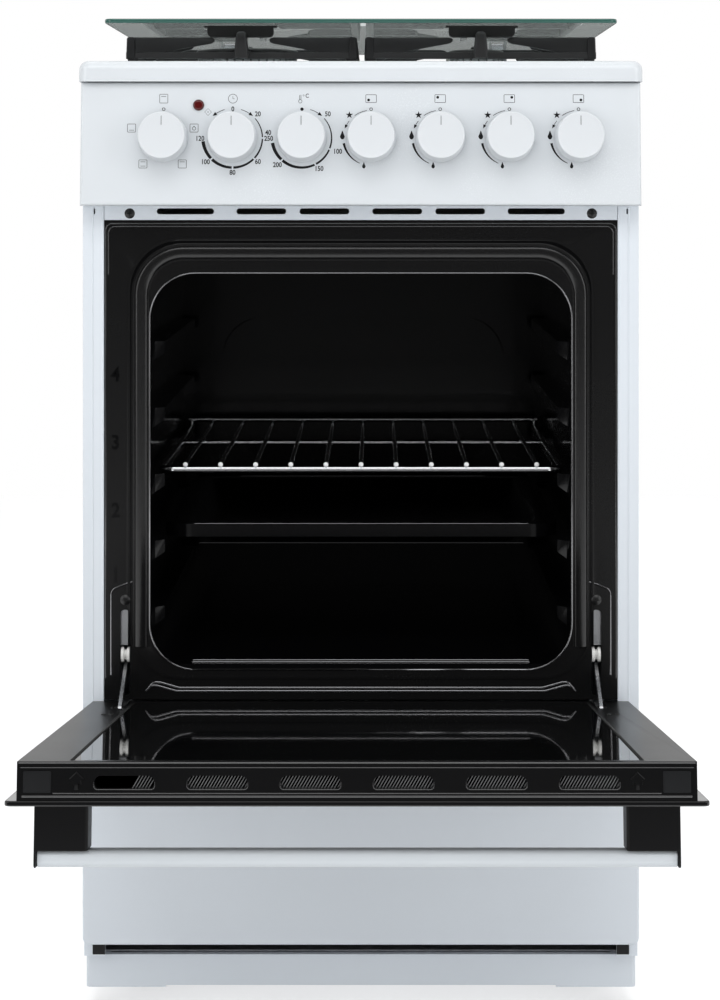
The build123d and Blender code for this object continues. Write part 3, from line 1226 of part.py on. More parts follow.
def control_panel():
    """Leaning sheet panel with folded top, bottom and ends, open at the back."""
    back = PANEL_BACK_Y
    corners = [
        (back, PANEL_LOW_Z),
        (panel_front_y(PANEL_LOW_Z), PANEL_LOW_Z),
        (panel_front_y(PANEL_TOP_Z), PANEL_TOP_Z),
        (back, PANEL_TOP_Z),
    ]
    panel = across(make_face(Polyline(*corners, close=True)), (-BODY_HALF, BODY_HALF))
    front = panel.faces().sort_by(Axis.Y)[0]
    panel = fillet(front.edges(), PANEL_EDGE_R)
    wall = PANEL_SHEET
    inner = [
        (back + SHEET, PANEL_LOW_Z + wall),
        (panel_front_y(PANEL_LOW_Z + wall) + wall, PANEL_LOW_Z + wall),
        (panel_front_y(PANEL_TOP_Z - wall) + wall, PANEL_TOP_Z - wall),
        (back + SHEET, PANEL_TOP_Z - wall),
    ]
    inner_half = BODY_HALF - wall
    hollow = across(make_face(Polyline(*inner, close=True)), (-inner_half, inner_half))
    inner_front = hollow.faces().sort_by(Axis.Y)[0]
    panel -= fillet(inner_front.edges(), PANEL_EDGE_R - wall)
    for number in range(DIAL_COUNT):
        panel -= dial_plane(number) * Cylinder(DIAL_HOLE_R, 4 * PANEL_SHEET)
    panel -= panel_plane(LAMP_DOT_X, LAMP_DOT_Z) * Cylinder(LAMP_DOT_R - SHEET, 4 * PANEL_SHEET)
    return panel


def indicator_lamp():
    """Red lens with a domed front and a body that passes through the panel."""
    lens = Pos(0, 0, LAMP_DOT_H / 2) * Cylinder(LAMP_DOT_R, LAMP_DOT_H)
    lens = fillet(lens.edges().group_by(Axis.Z)[-1], LAMP_DOT_H - FIT_GAP)
    lens += Pos(0, 0, -LAMP_DOT_L / 2) * Cylinder(LAMP_DOT_R - SHEET - RUN_GAP, LAMP_DOT_L)
    return panel_plane(LAMP_DOT_X, LAMP_DOT_Z) * lens


def knob_shape():
    """Hollow knob with a skirt, a dished face, an indicator line and a boss for its spindle."""
    low = (Align.CENTER, Align.CENTER, Align.MIN)
    knob = Cylinder(KNOB_FACE_R, KNOB_H, align=low)
    knob = fillet(knob.edges().group_by(Axis.Z)[-1], KNOB_EDGE_R)
    knob += Cylinder(KNOB_SKIRT_R, KNOB_SKIRT_H, align=low)
    knob -= Pos(0, 0, KNOB_H) * Cylinder(KNOB_GRIP_R - KNOB_EDGE_R, 2 * KNOB_DISH)
    cup = Cylinder(KNOB_FACE_R - KNOB_WALL, KNOB_H - KNOB_WALL - KNOB_DISH, align=low)
    cup -= Cylinder(KNOB_BOSS_R, KNOB_H, align=low)
    knob -= cup
    bore = SPINDLE_R + RUN_GAP
    knob -= Cylinder(bore, SPINDLE_TIP - KNOB_GAP + FIT_GAP, align=low)
    line_y = KNOB_GRIP_R - KNOB_EDGE_R - KNOB_LINE_L / 2
    line = Box(KNOB_LINE_W, KNOB_LINE_L, 2 * KNOB_LINE_D)
    knob -= Pos(0, line_y, KNOB_H - KNOB_DISH) * line
    return Pos(0, 0, KNOB_GAP) * knob


def knob(number):
    return dial_plane(number) * knob_shape()


def tap_spindle(number):
    """Spindle that slides into its tap when the knob is pushed."""
    length = SPINDLE_TIP + PANEL_SHEET + SPINDLE_BACK
    middle = SPINDLE_TIP - length / 2
    return dial_plane(number) * Pos(0, 0, middle) * Cylinder(SPINDLE_R, length)


def manifold_route():
    start = (DIAL_X0 + DIAL_PITCH * FIRST_GAS_DIAL - MANIFOLD_END, MANIFOLD_Y, MANIFOLD_Z)
    corner = (INLET_X, MANIFOLD_Y, MANIFOLD_Z)
    end = (INLET_X, BACK_Y - SHEET - INLET_COLLAR_L, MANIFOLD_Z)
    return [start, corner, end]


def gas_manifold():
    return bent_rod(manifold_route(), MANIFOLD_R, MANIFOLD_BEND_R)


def tap_body(number):
    middle = -PANEL_SHEET - TAP_BODY_L / 2
    return dial_plane(number) * Pos(0, 0, middle) * Cylinder(TAP_BODY_R, TAP_BODY_L)


def gas_taps():
    """Four taps behind the panel, saddled on the manifold, each with a blind bore for its spindle."""
    header = gas_manifold()
    taps = []
    for number in range(FIRST_GAS_DIAL, DIAL_COUNT):
        depth = SPINDLE_BACK + TAP_PUSH + TAP_STEP
        bore = Pos(0, 0, -PANEL_SHEET - depth / 2) * Cylinder(SPINDLE_R + RUN_GAP, depth)
        taps.append(tap_body(number) - dial_plane(number) * bore - header)
    return group(taps)


def burner_places():
    """Plan position and spreader radius of each burner, in the order of the gas knobs."""
    return [
        (-BURNER_X, BURNER_FRONT_Y, RAPID_R),
        (-BURNER_X, BURNER_BACK_Y, SEMI_R),
        (BURNER_X, BURNER_BACK_Y, SEMI_R),
        (BURNER_X, BURNER_FRONT_Y, AUX_R),
    ]


def gas_pipes():
    """One pipe from each tap to the jet of its burner, all at one level."""
    lanes = [
        BURNER_FRONT_Y - PIPE_LANE_AHEAD_1,
        BURNER_BACK_Y - PIPE_LANE_AHEAD_2,
        BURNER_FRONT_Y - PIPE_LANE_AHEAD_3,
        BURNER_FRONT_Y,
    ]
    jet_z = CUP_LOW_Z - JET_DROP
    pipes = []
    for number, (x, y, radius) in enumerate(burner_places()):
        dial_x = DIAL_X0 + DIAL_PITCH * (FIRST_GAS_DIAL + number)
        route = [(dial_x, FRONT_Y, DIAL_Z - TAP_BODY_R), (dial_x, FRONT_Y, PIPE_Z)]
        route.append((dial_x, lanes[number], PIPE_Z))
        if number == 2:
            route.append((PIPE_DETOUR_X, lanes[number], PIPE_Z))
            route.append((PIPE_DETOUR_X, y, PIPE_Z))
        else:
            route.append((x, lanes[number], PIPE_Z))
        if lanes[number] != y:
            route.append((x, y, PIPE_Z))
        route.append((x, y, jet_z))
        pipe = bent_rod(route, PIPE_R, PIPE_BEND_R)
        pipes.append(pipe - tap_body(FIRST_GAS_DIAL + number))
    return group(pipes)


def injectors():
    """Brass jet at the bottom of each burner cup, on the end of its pipe."""
    low = (Align.CENTER, Align.CENTER, Align.MIN)
    jet = Cylinder(JET_R, JET_DROP + JET_H, align=low)
    jet += Pos(0, 0, JET_DROP + CUP_WALL) * Cylinder(JET_R + SHEET, JET_H / 2, align=low)
    jet -= Pos(0, 0, JET_DROP) * Cylinder(JET_HOLE_R, 2 * JET_H, align=low)
    return group([Pos(x, y, CUP_LOW_Z - JET_DROP) * jet for x, y, radius in burner_places()])


def gas_inlet():
    """Threaded inlet at the rear: a collar inside the rear panel, a neck through it and the stub outside."""
    inside = BACK_Y - SHEET - INLET_COLLAR_L
    shoulder = BACK_Y + INLET_NECK_OUT
    end = shoulder + INLET_L

    def length(y_start, y_end, radius):
        return rod((INLET_X, y_start, MANIFOLD_Z), (INLET_X, y_end, MANIFOLD_Z), radius)

    inlet = length(inside, BACK_Y - SHEET, INLET_COLLAR_R)
    inlet += length(inside, shoulder, INLET_NECK_R)
    inlet += length(shoulder, end, INLET_R)
    return inlet - length(inside + SHEET, end, INLET_BORE_R)


def oven_switches():
    """Switch bodies behind the panel with the shafts of the three oven knobs."""
    switches = []
    for number in range(FIRST_GAS_DIAL):
        body = Pos(0, 0, -PANEL_SHEET - SWITCH_D / 2) * Box(SWITCH_W, SWITCH_W, SWITCH_D)
        length = SPINDLE_TIP + PANEL_SHEET + SHEET
        body += Pos(0, 0, SPINDLE_TIP - length / 2) * Cylinder(SPINDLE_R, length)
        switches.append(dial_plane(number) * body)
    return group(switches)


def ignition_unit():
    x = (IGNITION_X - IGNITION_W / 2, IGNITION_X + IGNITION_W / 2)
    y = (BACK_Y - SHEET - IGNITION_D, BACK_Y - SHEET)
    unit = block(x, y, (IGNITION_Z, IGNITION_Z + IGNITION_H))
    return fillet(unit.edges().filter_by(Axis.Y), IGNITION_R)


def cable_gland():
    """Plastic gland in the rear panel: a flange outside, a neck through the sheet and a nut inside."""
    start = BACK_Y - GLAND_INSIDE
    ends = (start, start + GLAND_L)
    gland = rod((GLAND_X, ends[0], GLAND_Z), (GLAND_X, ends[1], GLAND_Z), GLAND_NECK_R)
    gland += rod((GLAND_X, BACK_Y, GLAND_Z), (GLAND_X, BACK_Y + GLAND_FLANGE_T, GLAND_Z), GLAND_R)
    nut_y = BACK_Y - SHEET
    gland += rod((GLAND_X, nut_y - GLAND_FLANGE_T, GLAND_Z), (GLAND_X, nut_y, GLAND_Z), GLAND_R)
    return gland - rod((GLAND_X, ends[0], GLAND_Z), (GLAND_X, ends[1], GLAND_Z), GLAND_BORE_R)


def worktop():
    """Pressed hob top: a raised rim, a sunk field with ringed burner holes and a slotted rear ledge."""
    x = (-TOP_HALF, TOP_HALF)
    y = (TOP_FRONT_Y, BACK_Y)
    skirt = (TOP_SKIRT_Z, HOB_RIM_Z)
    body = top_shell(0.0, skirt)
    field_x = (x[0] + TOP_RIM_W, x[1] - TOP_RIM_W)
    field_y = (y[0] + TOP_RIM_W, TOP_LEDGE_Y)
    field_top = (TOP_FIELD_Z, HOB_RIM_Z + SHEET)
    body -= upright(rounded(field_x, field_y, TOP_FIELD_R), field_top)
    hollow = top_shell(TOP_SHEET, (TOP_SKIRT_Z - SHEET, HOB_RIM_Z - TOP_SHEET))
    under_x = (field_x[0] - TOP_SHEET, field_x[1] + TOP_SHEET)
    under_y = (field_y[0] - TOP_SHEET, field_y[1] + TOP_SHEET)
    field_under = (TOP_FIELD_Z - TOP_SHEET, HOB_RIM_Z + SHEET)
    hollow -= upright(rounded(under_x, under_y, TOP_FIELD_R + TOP_SHEET), field_under)
    body -= hollow
    for bx, by, radius in burner_places():
        ring = Circle(radius + BURNER_HOLE_GAP + BURNER_RING_W)
        body += upright(Pos(bx, by) * ring, (TOP_FIELD_Z - TOP_SHEET, TOP_FIELD_Z + BURNER_RING_H))
        hole = Circle(radius + BURNER_HOLE_GAP)
        body -= upright(Pos(bx, by) * hole, (TOP_SKIRT_Z, HOB_RIM_Z))
        ex, ey = spark_place(bx, by, radius)
        spark = Circle(SPARK_COLLAR_R + FIT_GAP)
        body -= upright(Pos(ex, ey) * spark, (TOP_SKIRT_Z, HOB_RIM_Z))
    slot = SlotOverall(TOP_VENT_L, TOP_VENT_W)
    for place in GridLocations(TOP_VENT_PITCH, TOP_VENT_L, TOP_VENTS, 1):
        vent = Pos(0, BACK_Y - TOP_VENT_INSET_Y) * place * slot
        body -= upright(vent, (HOB_RIM_Z - 2 * TOP_SHEET, HOB_RIM_Z + SHEET))
    return body


def top_shell(shrink, z):
    """Outer block of the worktop, rounded along its front and side edges."""
    x = (-TOP_HALF + shrink, TOP_HALF - shrink)
    y = (TOP_FRONT_Y + shrink, BACK_Y - shrink)
    shell = block(x, y, z)
    front_corners = shell.edges().filter_by(Axis.Z).group_by(Axis.Y)[0]
    shell = fillet(front_corners, TOP_CORNER_R - shrink)
    return fillet(shell.edges().group_by(Axis.Z)[-1], TOP_EDGE_R - shrink)


def spark_place(x, y, radius):
    """Plan position of a burner's electrode, on the diagonal towards the hob's middle."""
    reach = (radius + BURNER_HOLE_GAP + BURNER_RING_W + SPARK_GAP + SPARK_COLLAR_R) / 2 ** 0.5
    near_x = x - reach if x > 0 else x + reach
    near_y = y + reach if y < BURNER_MIDDLE_Y else y - reach
    return near_x, near_y


def burner_cups():
    """Cup below each burner hole, its rim against the underside of the field."""
    cups = []
    rim = TOP_FIELD_Z - TOP_SHEET
    for x, y, radius in burner_places():
        outer = radius + CUP_REACH
        cup = upright(Circle(outer), (CUP_LOW_Z, rim))
        cup -= upright(Circle(outer - CUP_WALL), (CUP_LOW_Z + CUP_WALL, rim + SHEET))
        cup -= upright(Circle(JET_R + RUN_GAP), (CUP_LOW_Z - SHEET, CUP_LOW_Z + 2 * CUP_WALL))
        cups.append(Pos(x, y, 0) * cup)
    return group(cups)


def flame_spreader(radius):
    """Toothed ring on a flange, with a short skirt down into the burner hole."""
    base = TOP_FIELD_Z + BURNER_RING_H
    flange = radius + BURNER_HOLE_GAP + BURNER_RING_W - SHEET
    ring = upright(Circle(flange), (base, base + SPREADER_FLANGE_H))
    ring += upright(Circle(radius), (base, SPREADER_TOP_Z))
    ring += upright(Circle(radius - FIT_GAP), (base - SPREADER_SKIRT_H, base))
    inner = radius - SPREADER_WALL
    ring -= upright(Circle(inner), (base - SPREADER_SKIRT_H - SHEET, SPREADER_TOP_Z + SHEET))
    tooth_z = SPREADER_TOP_Z - SPREADER_SLOT_D / 2
    slots = PolarLocations(radius - SPREADER_WALL / 2, round(2 * radius * SPREADER_SLOT_DENSITY))
    gap = Pos(0, 0, tooth_z) * Box(2 * SPREADER_WALL, SPREADER_SLOT_W, SPREADER_SLOT_D + FIT_GAP)
    return ring.cut(*[place * gap for place in slots])


def flame_spreaders():
    return group([Pos(x, y, 0) * flame_spreader(radius) for x, y, radius in burner_places()])


def burner_caps():
    """Enamelled caps with a centring spigot inside each spreader."""
    caps = []
    for x, y, radius in burner_places():
        cap = upright(Circle(radius + CAP_OVERHANG), (SPREADER_TOP_Z, CAP_TOP_Z))
        cap = fillet(cap.edges().group_by(Axis.Z)[-1], CAP_EDGE_R)
        spigot = Circle(radius - SPREADER_WALL - FIT_GAP)
        cap += upright(spigot, (SPREADER_TOP_Z - CAP_SPIGOT_H, SPREADER_TOP_Z))
        caps.append(Pos(x, y, 0) * cap)
    return group(caps)


def spark_electrodes():
    """Ceramic-sleeved electrode beside each burner, hung by its collar on the field."""
    sparks = []
    for x, y, radius in burner_places():
        ex, ey = spark_place(x, y, radius)
        top = TOP_FIELD_Z + SPARK_SLEEVE_UP
        spark = upright(Circle(SPARK_COLLAR_R), (TOP_FIELD_Z - SPARK_SLEEVE_DOWN, top))
        spark += upright(Circle(SPARK_COLLAR_R + 2 * SHEET), (TOP_FIELD_Z, TOP_FIELD_Z + 2 * SHEET))
        spark += upright(Circle(SPARK_R), (top, SPARK_TOP_Z))
        sparks.append(Pos(ex, ey, 0) * spark)
    return group(sparks)


def pan_support():
    """Right cast support: a ring of bars on four legs, with fingers towards both burners."""
    low = TOP_FIELD_Z + PAN_LEG_H
    bar_z = (low, PAN_TOP_Z)
    rail_z = (low, PAN_RAIL_TOP_Z)
    arm_z = (PAN_RAIL_TOP_Z, PAN_TOP_Z)
    left = (PAN_IN, PAN_IN + PAN_BAR_W)
    right = (PAN_OUT - PAN_BAR_W, PAN_OUT)
    y = (PAN_FRONT_Y + PAN_POST_D, PAN_BACK_Y)
    half = PAN_FINGER_W / 2
    half_bar = PAN_BAR_W / 2
    parts = [block(left, y, bar_z), block(right, y, bar_z)]
    rails = (y[0] + half_bar, BURNER_MIDDLE_Y, y[1] - half_bar)
    for rail_y in rails:
        parts.append(block((PAN_IN, PAN_OUT), (rail_y - half_bar, rail_y + half_bar), rail_z))
        stub_y = (rail_y - half, rail_y + half)
        parts.append(stub((left[0], BURNER_X - PAN_FINGER_GAP), stub_y, bar_z))
        parts.append(stub((right[1], BURNER_X + PAN_FINGER_GAP), stub_y, bar_z))
    for burner_y in (BURNER_FRONT_Y, BURNER_BACK_Y):
        arm_y = (burner_y - half, burner_y + half)
        parts.append(stub((left[0], BURNER_X - PAN_ARM_GAP), arm_y, arm_z))
        parts.append(stub((right[1], BURNER_X + PAN_ARM_GAP), arm_y, arm_z))
    finger_x = (BURNER_X - half, BURNER_X + half)
    fingers = [
        (y[0], BURNER_FRONT_Y - PAN_ARM_GAP),
        (BURNER_MIDDLE_Y, BURNER_FRONT_Y + PAN_ARM_GAP),
        (BURNER_MIDDLE_Y, BURNER_BACK_Y - PAN_ARM_GAP),
        (y[1], BURNER_BACK_Y + PAN_ARM_GAP),
    ]
    for root_y, tip_y in fingers:
        parts.append(stub_along(finger_x, (root_y, tip_y), bar_z))
    parts += front_post(low, y[0])
    for x in (left[0] + PAN_LEG_R, right[1] - PAN_LEG_R):
        for leg_y in (y[0] + PAN_LEG_R, y[1] - PAN_LEG_R):
            parts.append(upright(Pos(x, leg_y) * Circle(PAN_LEG_R), (TOP_FIELD_Z, low)))
    return joined(parts)


def front_post(low, bar_y):
    """Post ahead of the front bar: it leans back to the rail's top and narrows above it."""
    wide = (BURNER_X - PAN_POST_W / 2, BURNER_X + PAN_POST_W / 2)
    narrow = (BURNER_X - PAN_POST_TIP / 2, BURNER_X + PAN_POST_TIP / 2)
    bottom = Plane.XY.offset(low) * rect(wide, (PAN_FRONT_Y, bar_y + PAN_BAR_W))
    waist = Plane.XY.offset(PAN_RAIL_TOP_Z) * rect(wide, (PAN_FRONT_Y, bar_y))
    top = Plane.XY.offset(PAN_POST_TOP_Z) * rect(narrow, (PAN_FRONT_Y, bar_y - SHEET))
    return [loft([bottom, waist]), loft([waist, top])]


def stub(x, y, z):
    """Finger along X from its root to a rounded tip."""
    reach = x[1] - x[0]
    half = (y[1] - y[0]) / 2
    centre = (y[0] + y[1]) / 2
    tip = x[1] - half if reach > 0 else x[1] + half
    flat = rect((min(x[0], tip), max(x[0], tip)), y)
    return upright(flat + Pos(tip, centre) * Circle(half), z)


def stub_along(x, y, z):
    """Finger along Y from its root to a rounded tip."""
    half = (x[1] - x[0]) / 2
    centre = (x[0] + x[1]) / 2
    tip = y[1] - half if y[1] > y[0] else y[1] + half
    flat = rect(x, (min(y[0], tip), max(y[0], tip)))
    return upright(flat + Pos(centre, tip) * Circle(half), z)


def glass_lid():
    plan = rounded((-LID_HALF, LID_HALF), (LID_FRONT_Y, LID_BACK_Y), LID_R)
    lid = upright(plan, (LID_LOW_Z, LID_LOW_Z + LID_T))
    return chamfer(lid.edges().group_by(Axis.Z)[-1], LID_BEVEL)


def lid_hinge_arm():
    """Arm glued under the glass, narrowing to a knuckle behind it."""
    z = (LID_LOW_Z - LID_ARM_T, LID_LOW_Z)
    x = (LID_ARM_X - LID_ARM_W / 2, LID_ARM_X + LID_ARM_W / 2)
    knuckle_x = (LID_ARM_X - LID_KNUCKLE_W / 2, LID_ARM_X + LID_KNUCKLE_W / 2)
    arm = block(x, (LID_BACK_Y - LID_ARM_L, LID_BACK_Y), z)
    arm += block(knuckle_x, (LID_BACK_Y - SHEET, LID_PIVOT_Y), z)
    arm += across(Pos(LID_PIVOT_Y, LID_PIVOT_Z) * Circle(LID_KNUCKLE_R), knuckle_x)
    return arm - across(Pos(LID_PIVOT_Y, LID_PIVOT_Z) * Circle(LID_PIN_R + LID_PIN_GAP), knuckle_x)


def lid_hinge_seat():
    """Seat on the rear ledge: a base plate, two cheeks and the hinge pin between them."""
    inner = LID_CHEEK_GAP / 2
    outer = inner + LID_CHEEK_T
    base_y = (LID_PIVOT_Y - LID_CHEEK_W / 2, LID_PIVOT_Y + LID_CHEEK_W / 2)
    base_x = (LID_ARM_X - outer - SEAT_FOOT, LID_ARM_X + outer + SEAT_FOOT)
    seat = block(base_x, base_y, (HOB_RIM_Z, HOB_RIM_Z + SEAT_T))
    cheek = rect(base_y, (HOB_RIM_Z, LID_PIVOT_Z)) + Pos(LID_PIVOT_Y, LID_PIVOT_Z) * Circle(LID_CHEEK_W / 2)
    for side in (-1, 1):
        ends = sorted((LID_ARM_X + side * inner, LID_ARM_X + side * outer))
        seat += across(cheek, ends)
    pin = [(LID_ARM_X - outer, LID_PIVOT_Y, LID_PIVOT_Z), (LID_ARM_X + outer, LID_PIVOT_Y, LID_PIVOT_Z)]
    return seat + rod(pin[0], pin[1], LID_PIN_R)


def lid_buffer():
    """Rubber block under the glass that rests on the pan support's front stubs."""
    low = PAN_TOP_Z + REST_GAP
    x = (BUFFER_X - BUFFER_W / 2, BUFFER_X + BUFFER_W / 2)
    y = (BUFFER_Y - BUFFER_D / 2, BUFFER_Y + BUFFER_D / 2)
    buffer = block(x, y, (low, LID_LOW_Z))
    buffer = fillet(buffer.edges().filter_by(Axis.Y).group_by(Axis.Z)[0], BUFFER_R)
    flange_x = (x[0] - BUFFER_FLANGE, x[1] + BUFFER_FLANGE)
    return buffer + block(flange_x, y, (LID_LOW_Z - BUFFER_FLANGE_T, LID_LOW_Z))


def build():
    """Every piece of the cooker under its node name."""
    right_side = side_panel()
    right_pan = pan_support()
    pieces = {
        "base_frame": base_frame(),
        "levelling_feet": levelling_feet(),
        "side_panel_right": right_side,
        "side_panel_left": other_side(right_side),
        "rear_panel": rear_panel(),
        "plinth": plinth(),
        "vent_rail": vent_rail(),
        "body_screws": body_screws(),
        "control_panel": control_panel(),
        "indicator_lamp": indicator_lamp(),
        "worktop": worktop(),
        "burner_cups": burner_cups(),
        "injectors": injectors(),
        "flame_spreaders": flame_spreaders(),
        "burner_caps": burner_caps(),
        "spark_electrodes": spark_electrodes(),
        "pan_support_right": right_pan,
        "pan_support_left": other_side(right_pan),
        "gas_manifold": gas_manifold(),
        "gas_taps": gas_taps(),
        "gas_pipes": gas_pipes(),
        "gas_inlet": gas_inlet(),
        "ignition_unit": ignition_unit(),
        "oven_switches": oven_switches(),
        "cavity_liner": cavity_liner(),
        "front_frame": front_frame(),
        "door_gasket": door_gasket(),
        "insulation": insulation(),
        "top_element": top_element(),
        "bottom_element": bottom_element(),
        "oven_lamp": oven_lamp(),
        "hinge_housings": both_sides(hinge_housing()),
        "hinge_rollers": hinge_rollers(),
        "lid_hinge_seats": both_sides(lid_hinge_seat()),
        "cable_gland": cable_gland(),
        "glass_lid": glass_lid(),
        "lid_hinge_arms": both_sides(lid_hinge_arm()),
        "lid_buffers": both_sides(lid_buffer()),
        "wire_shelf": wire_shelf(),
        "baking_tray": baking_tray(),
        "door_frame": opened(door_frame()),
        "door_outer_glass": opened(door_outer_glass()),
        "door_inner_glass": opened(door_inner_glass()),
        "handle_brackets": opened(both_sides(handle_bracket())),
        "handle_bar": opened(handle_bar()),
        "door_links": both_sides(door_link()),
        "drawer_box": drawer_box(),
        "drawer_front": drawer_front(),
    }
    for number, name in enumerate(("knob_function", "knob_timer", "knob_thermostat")):
        pieces[name] = knob(number)
    for number in range(FIRST_GAS_DIAL, DIAL_COUNT):
        order = number - FIRST_GAS_DIAL + 1
        pieces[f"knob_gas_{order}"] = knob(number)
        pieces[f"tap_spindle_{order}"] = tap_spindle(number)
    return pieces


os.makedirs("parts", exist_ok=True)
for node, piece in build().items():
    export_step(piece, f"parts/{node}.step")
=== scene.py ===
"""Looks of a free-standing 50 cm cooker: gas hob under a glass lid, oven with its door open, drawer."""

import logging
import math
from dataclasses import dataclass, field
from enum import Enum
from typing import Sequence

import bmesh
import bpy
import numpy as np
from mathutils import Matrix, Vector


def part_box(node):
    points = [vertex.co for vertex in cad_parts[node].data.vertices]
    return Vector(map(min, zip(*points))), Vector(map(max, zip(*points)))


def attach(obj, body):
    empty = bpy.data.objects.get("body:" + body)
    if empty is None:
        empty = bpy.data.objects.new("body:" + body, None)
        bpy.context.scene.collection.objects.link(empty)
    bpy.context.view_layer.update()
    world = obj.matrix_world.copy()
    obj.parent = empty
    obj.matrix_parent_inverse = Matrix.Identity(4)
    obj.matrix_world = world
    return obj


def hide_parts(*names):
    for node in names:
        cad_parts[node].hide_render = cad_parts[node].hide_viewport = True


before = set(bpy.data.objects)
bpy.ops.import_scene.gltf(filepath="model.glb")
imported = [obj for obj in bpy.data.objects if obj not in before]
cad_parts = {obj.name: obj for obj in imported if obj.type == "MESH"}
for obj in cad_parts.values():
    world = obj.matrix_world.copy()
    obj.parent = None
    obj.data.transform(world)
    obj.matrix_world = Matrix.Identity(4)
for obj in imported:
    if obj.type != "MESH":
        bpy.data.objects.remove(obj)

logging.basicConfig(level=logging.INFO, format="%(message)s")
LOG = logging.getLogger("cooker")

MM = 0.001
MERGE_POINTS = 0.00001
MERGE_CAD_POINTS = 0.00002
FLAT_DEGREES = 1.5
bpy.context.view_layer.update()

Array = np.ndarray
Piece = bpy.types.Object
Tree = bpy.types.NodeTree
Socket = bpy.types.NodeSocket
Point = tuple[float, float, float]
Spot = tuple[float, float]

UPWARD: Point = (0, 0, 1)
FORWARD: Point = (0, -1, 0)
SIDES = ((-1, "left"), (1, "right"))


def mm(*values: float) -> Array:
    """Millimetres as an array of metres."""
    return np.array(values, float) * MM


def put_mesh(name: str, points: Array, faces: Sequence, smooth: bool = True) -> Piece:
    """Makes an object from points and faces, at the origin.

    Args:
        name: the piece's name.
        points: N by 3 array in metres.
        faces: sequences of point numbers, or an array of quads.
        smooth: whether faces are shaded smooth.

    Returns:
        The linked object.
    """
    mesh = bpy.data.meshes.new(name)
    mesh.from_pydata(np.asarray(points, float).tolist(), [], [list(map(int, f)) for f in faces])
    mesh.validate()
    mesh.polygons.foreach_set("use_smooth", np.full(len(mesh.polygons), smooth))
    mesh.update()
    thing = bpy.data.objects.new(name, mesh)
    bpy.context.scene.collection.objects.link(thing)
    return thing


def outward(piece: Piece) -> Piece:
    """Merges doubled points and turns every face of a closed piece outwards."""
    work = bmesh.new()
    work.from_mesh(piece.data)
    bmesh.ops.remove_doubles(work, verts=work.verts, dist=MERGE_POINTS)
    bmesh.ops.recalc_face_normals(work, faces=work.faces)
    work.to_mesh(piece.data)
    work.free()
    return piece


def crisp(piece: Piece, angle: float) -> Piece:
    """Shades a piece smooth except over edges sharper than an angle in degrees."""
    mesh = piece.data
    mesh.polygons.foreach_set("use_smooth", np.ones(len(mesh.polygons), bool))
    mesh.set_sharp_from_angle(angle=math.radians(angle))
    return piece


@dataclass
class Shell:
    """A mesh being gathered from several grids, then made one piece."""

    points: list = field(default_factory=list)
    faces: list = field(default_factory=list)
    count: int = 0

    def grid(self, surface: Array, close_rows: bool = False, close_columns: bool = False,
             caps: bool = False, flip: bool = False) -> "Shell":
        """Adds a surface given as a grid of points; its faces look along row direction cross column direction.

        Args:
            surface: rows by columns by 3 array.
            close_rows: whether the last row joins the first.
            close_columns: whether each row is a closed loop.
            caps: whether the first and last rows are closed with a face each.
            flip: whether the faces are turned over.

        Returns:
            This shell.
        """
        rows, columns = surface.shape[:2]
        row = np.arange(rows if close_rows else rows - 1)
        column = np.arange(columns if close_columns else columns - 1)
        i, j = np.meshgrid(row, column, indexing="ij")
        up, along = (i + 1) % rows, (j + 1) % columns
        quads = np.stack([i * columns + j, up * columns + j, up * columns + along, i * columns + along], -1)
        faces = (quads.reshape(-1, 4) + self.count).tolist()
        if caps:
            last = self.count + (rows - 1) * columns
            faces += [list(range(self.count, self.count + columns)), list(range(last, last + columns))[::-1]]
        self.faces.extend([face[::-1] for face in faces] if flip else faces)
        self.points.append(surface.reshape(-1, 3))
        self.count += rows * columns
        return self

    def loft(self, rows: Sequence) -> "Shell":
        """Adds a closed skin through rows of points in metres, with a cap at each end."""
        return self.grid(np.asarray(rows, float), close_columns=True, caps=True)

    def tube(self, path: Array, radius: float, sides: int = 10, up: Point = UPWARD) -> "Shell":
        """Adds a round bar along a path, with closed ends."""
        return self.grid(swept(path, ring_path(radius, sides), up), close_columns=True, caps=True, flip=True)

    def solid(self, name: str, sharp: float | None = None, smooth: bool = True) -> Piece:
        """Makes the gathered mesh one piece that faces outwards.

        Args:
            name: the piece's name.
            sharp: angle in degrees from which an edge shows sharp, or None for no such edges.
            smooth: whether faces are shaded smooth.

        Returns:
            The piece.
        """
        piece = outward(put_mesh(name, np.concatenate(self.points), self.faces, smooth))
        return piece if sharp is None else crisp(piece, sharp)


def raised(flat: Array, z: float) -> Array:
    """Flat points as X and Y at a height."""
    return np.column_stack([flat, np.full(len(flat), z)])


def upright(flat: Array, y: float) -> Array:
    """Flat points as X and Z at a depth."""
    return np.column_stack([flat[:, 0], np.full(len(flat), y), flat[:, 1]])


def arch(x: float, y: float, low: float, top: float) -> list[Point]:
    """Corners of a line up the left side, across the top and down the right side."""
    return [(-x, y, low), (-x, y, top), (x, y, top), (x, y, low)]


def bead_path(reach: float, y: float, z: float, drop: float = 0.1) -> Array:
    """A line across the cooker whose last 2 mm dip at each end, in millimetres."""
    return np.array([(-reach, y, z - drop), (2 - reach, y, z), (0, y, z), (reach - 2, y, z), (reach, y, z - drop)])


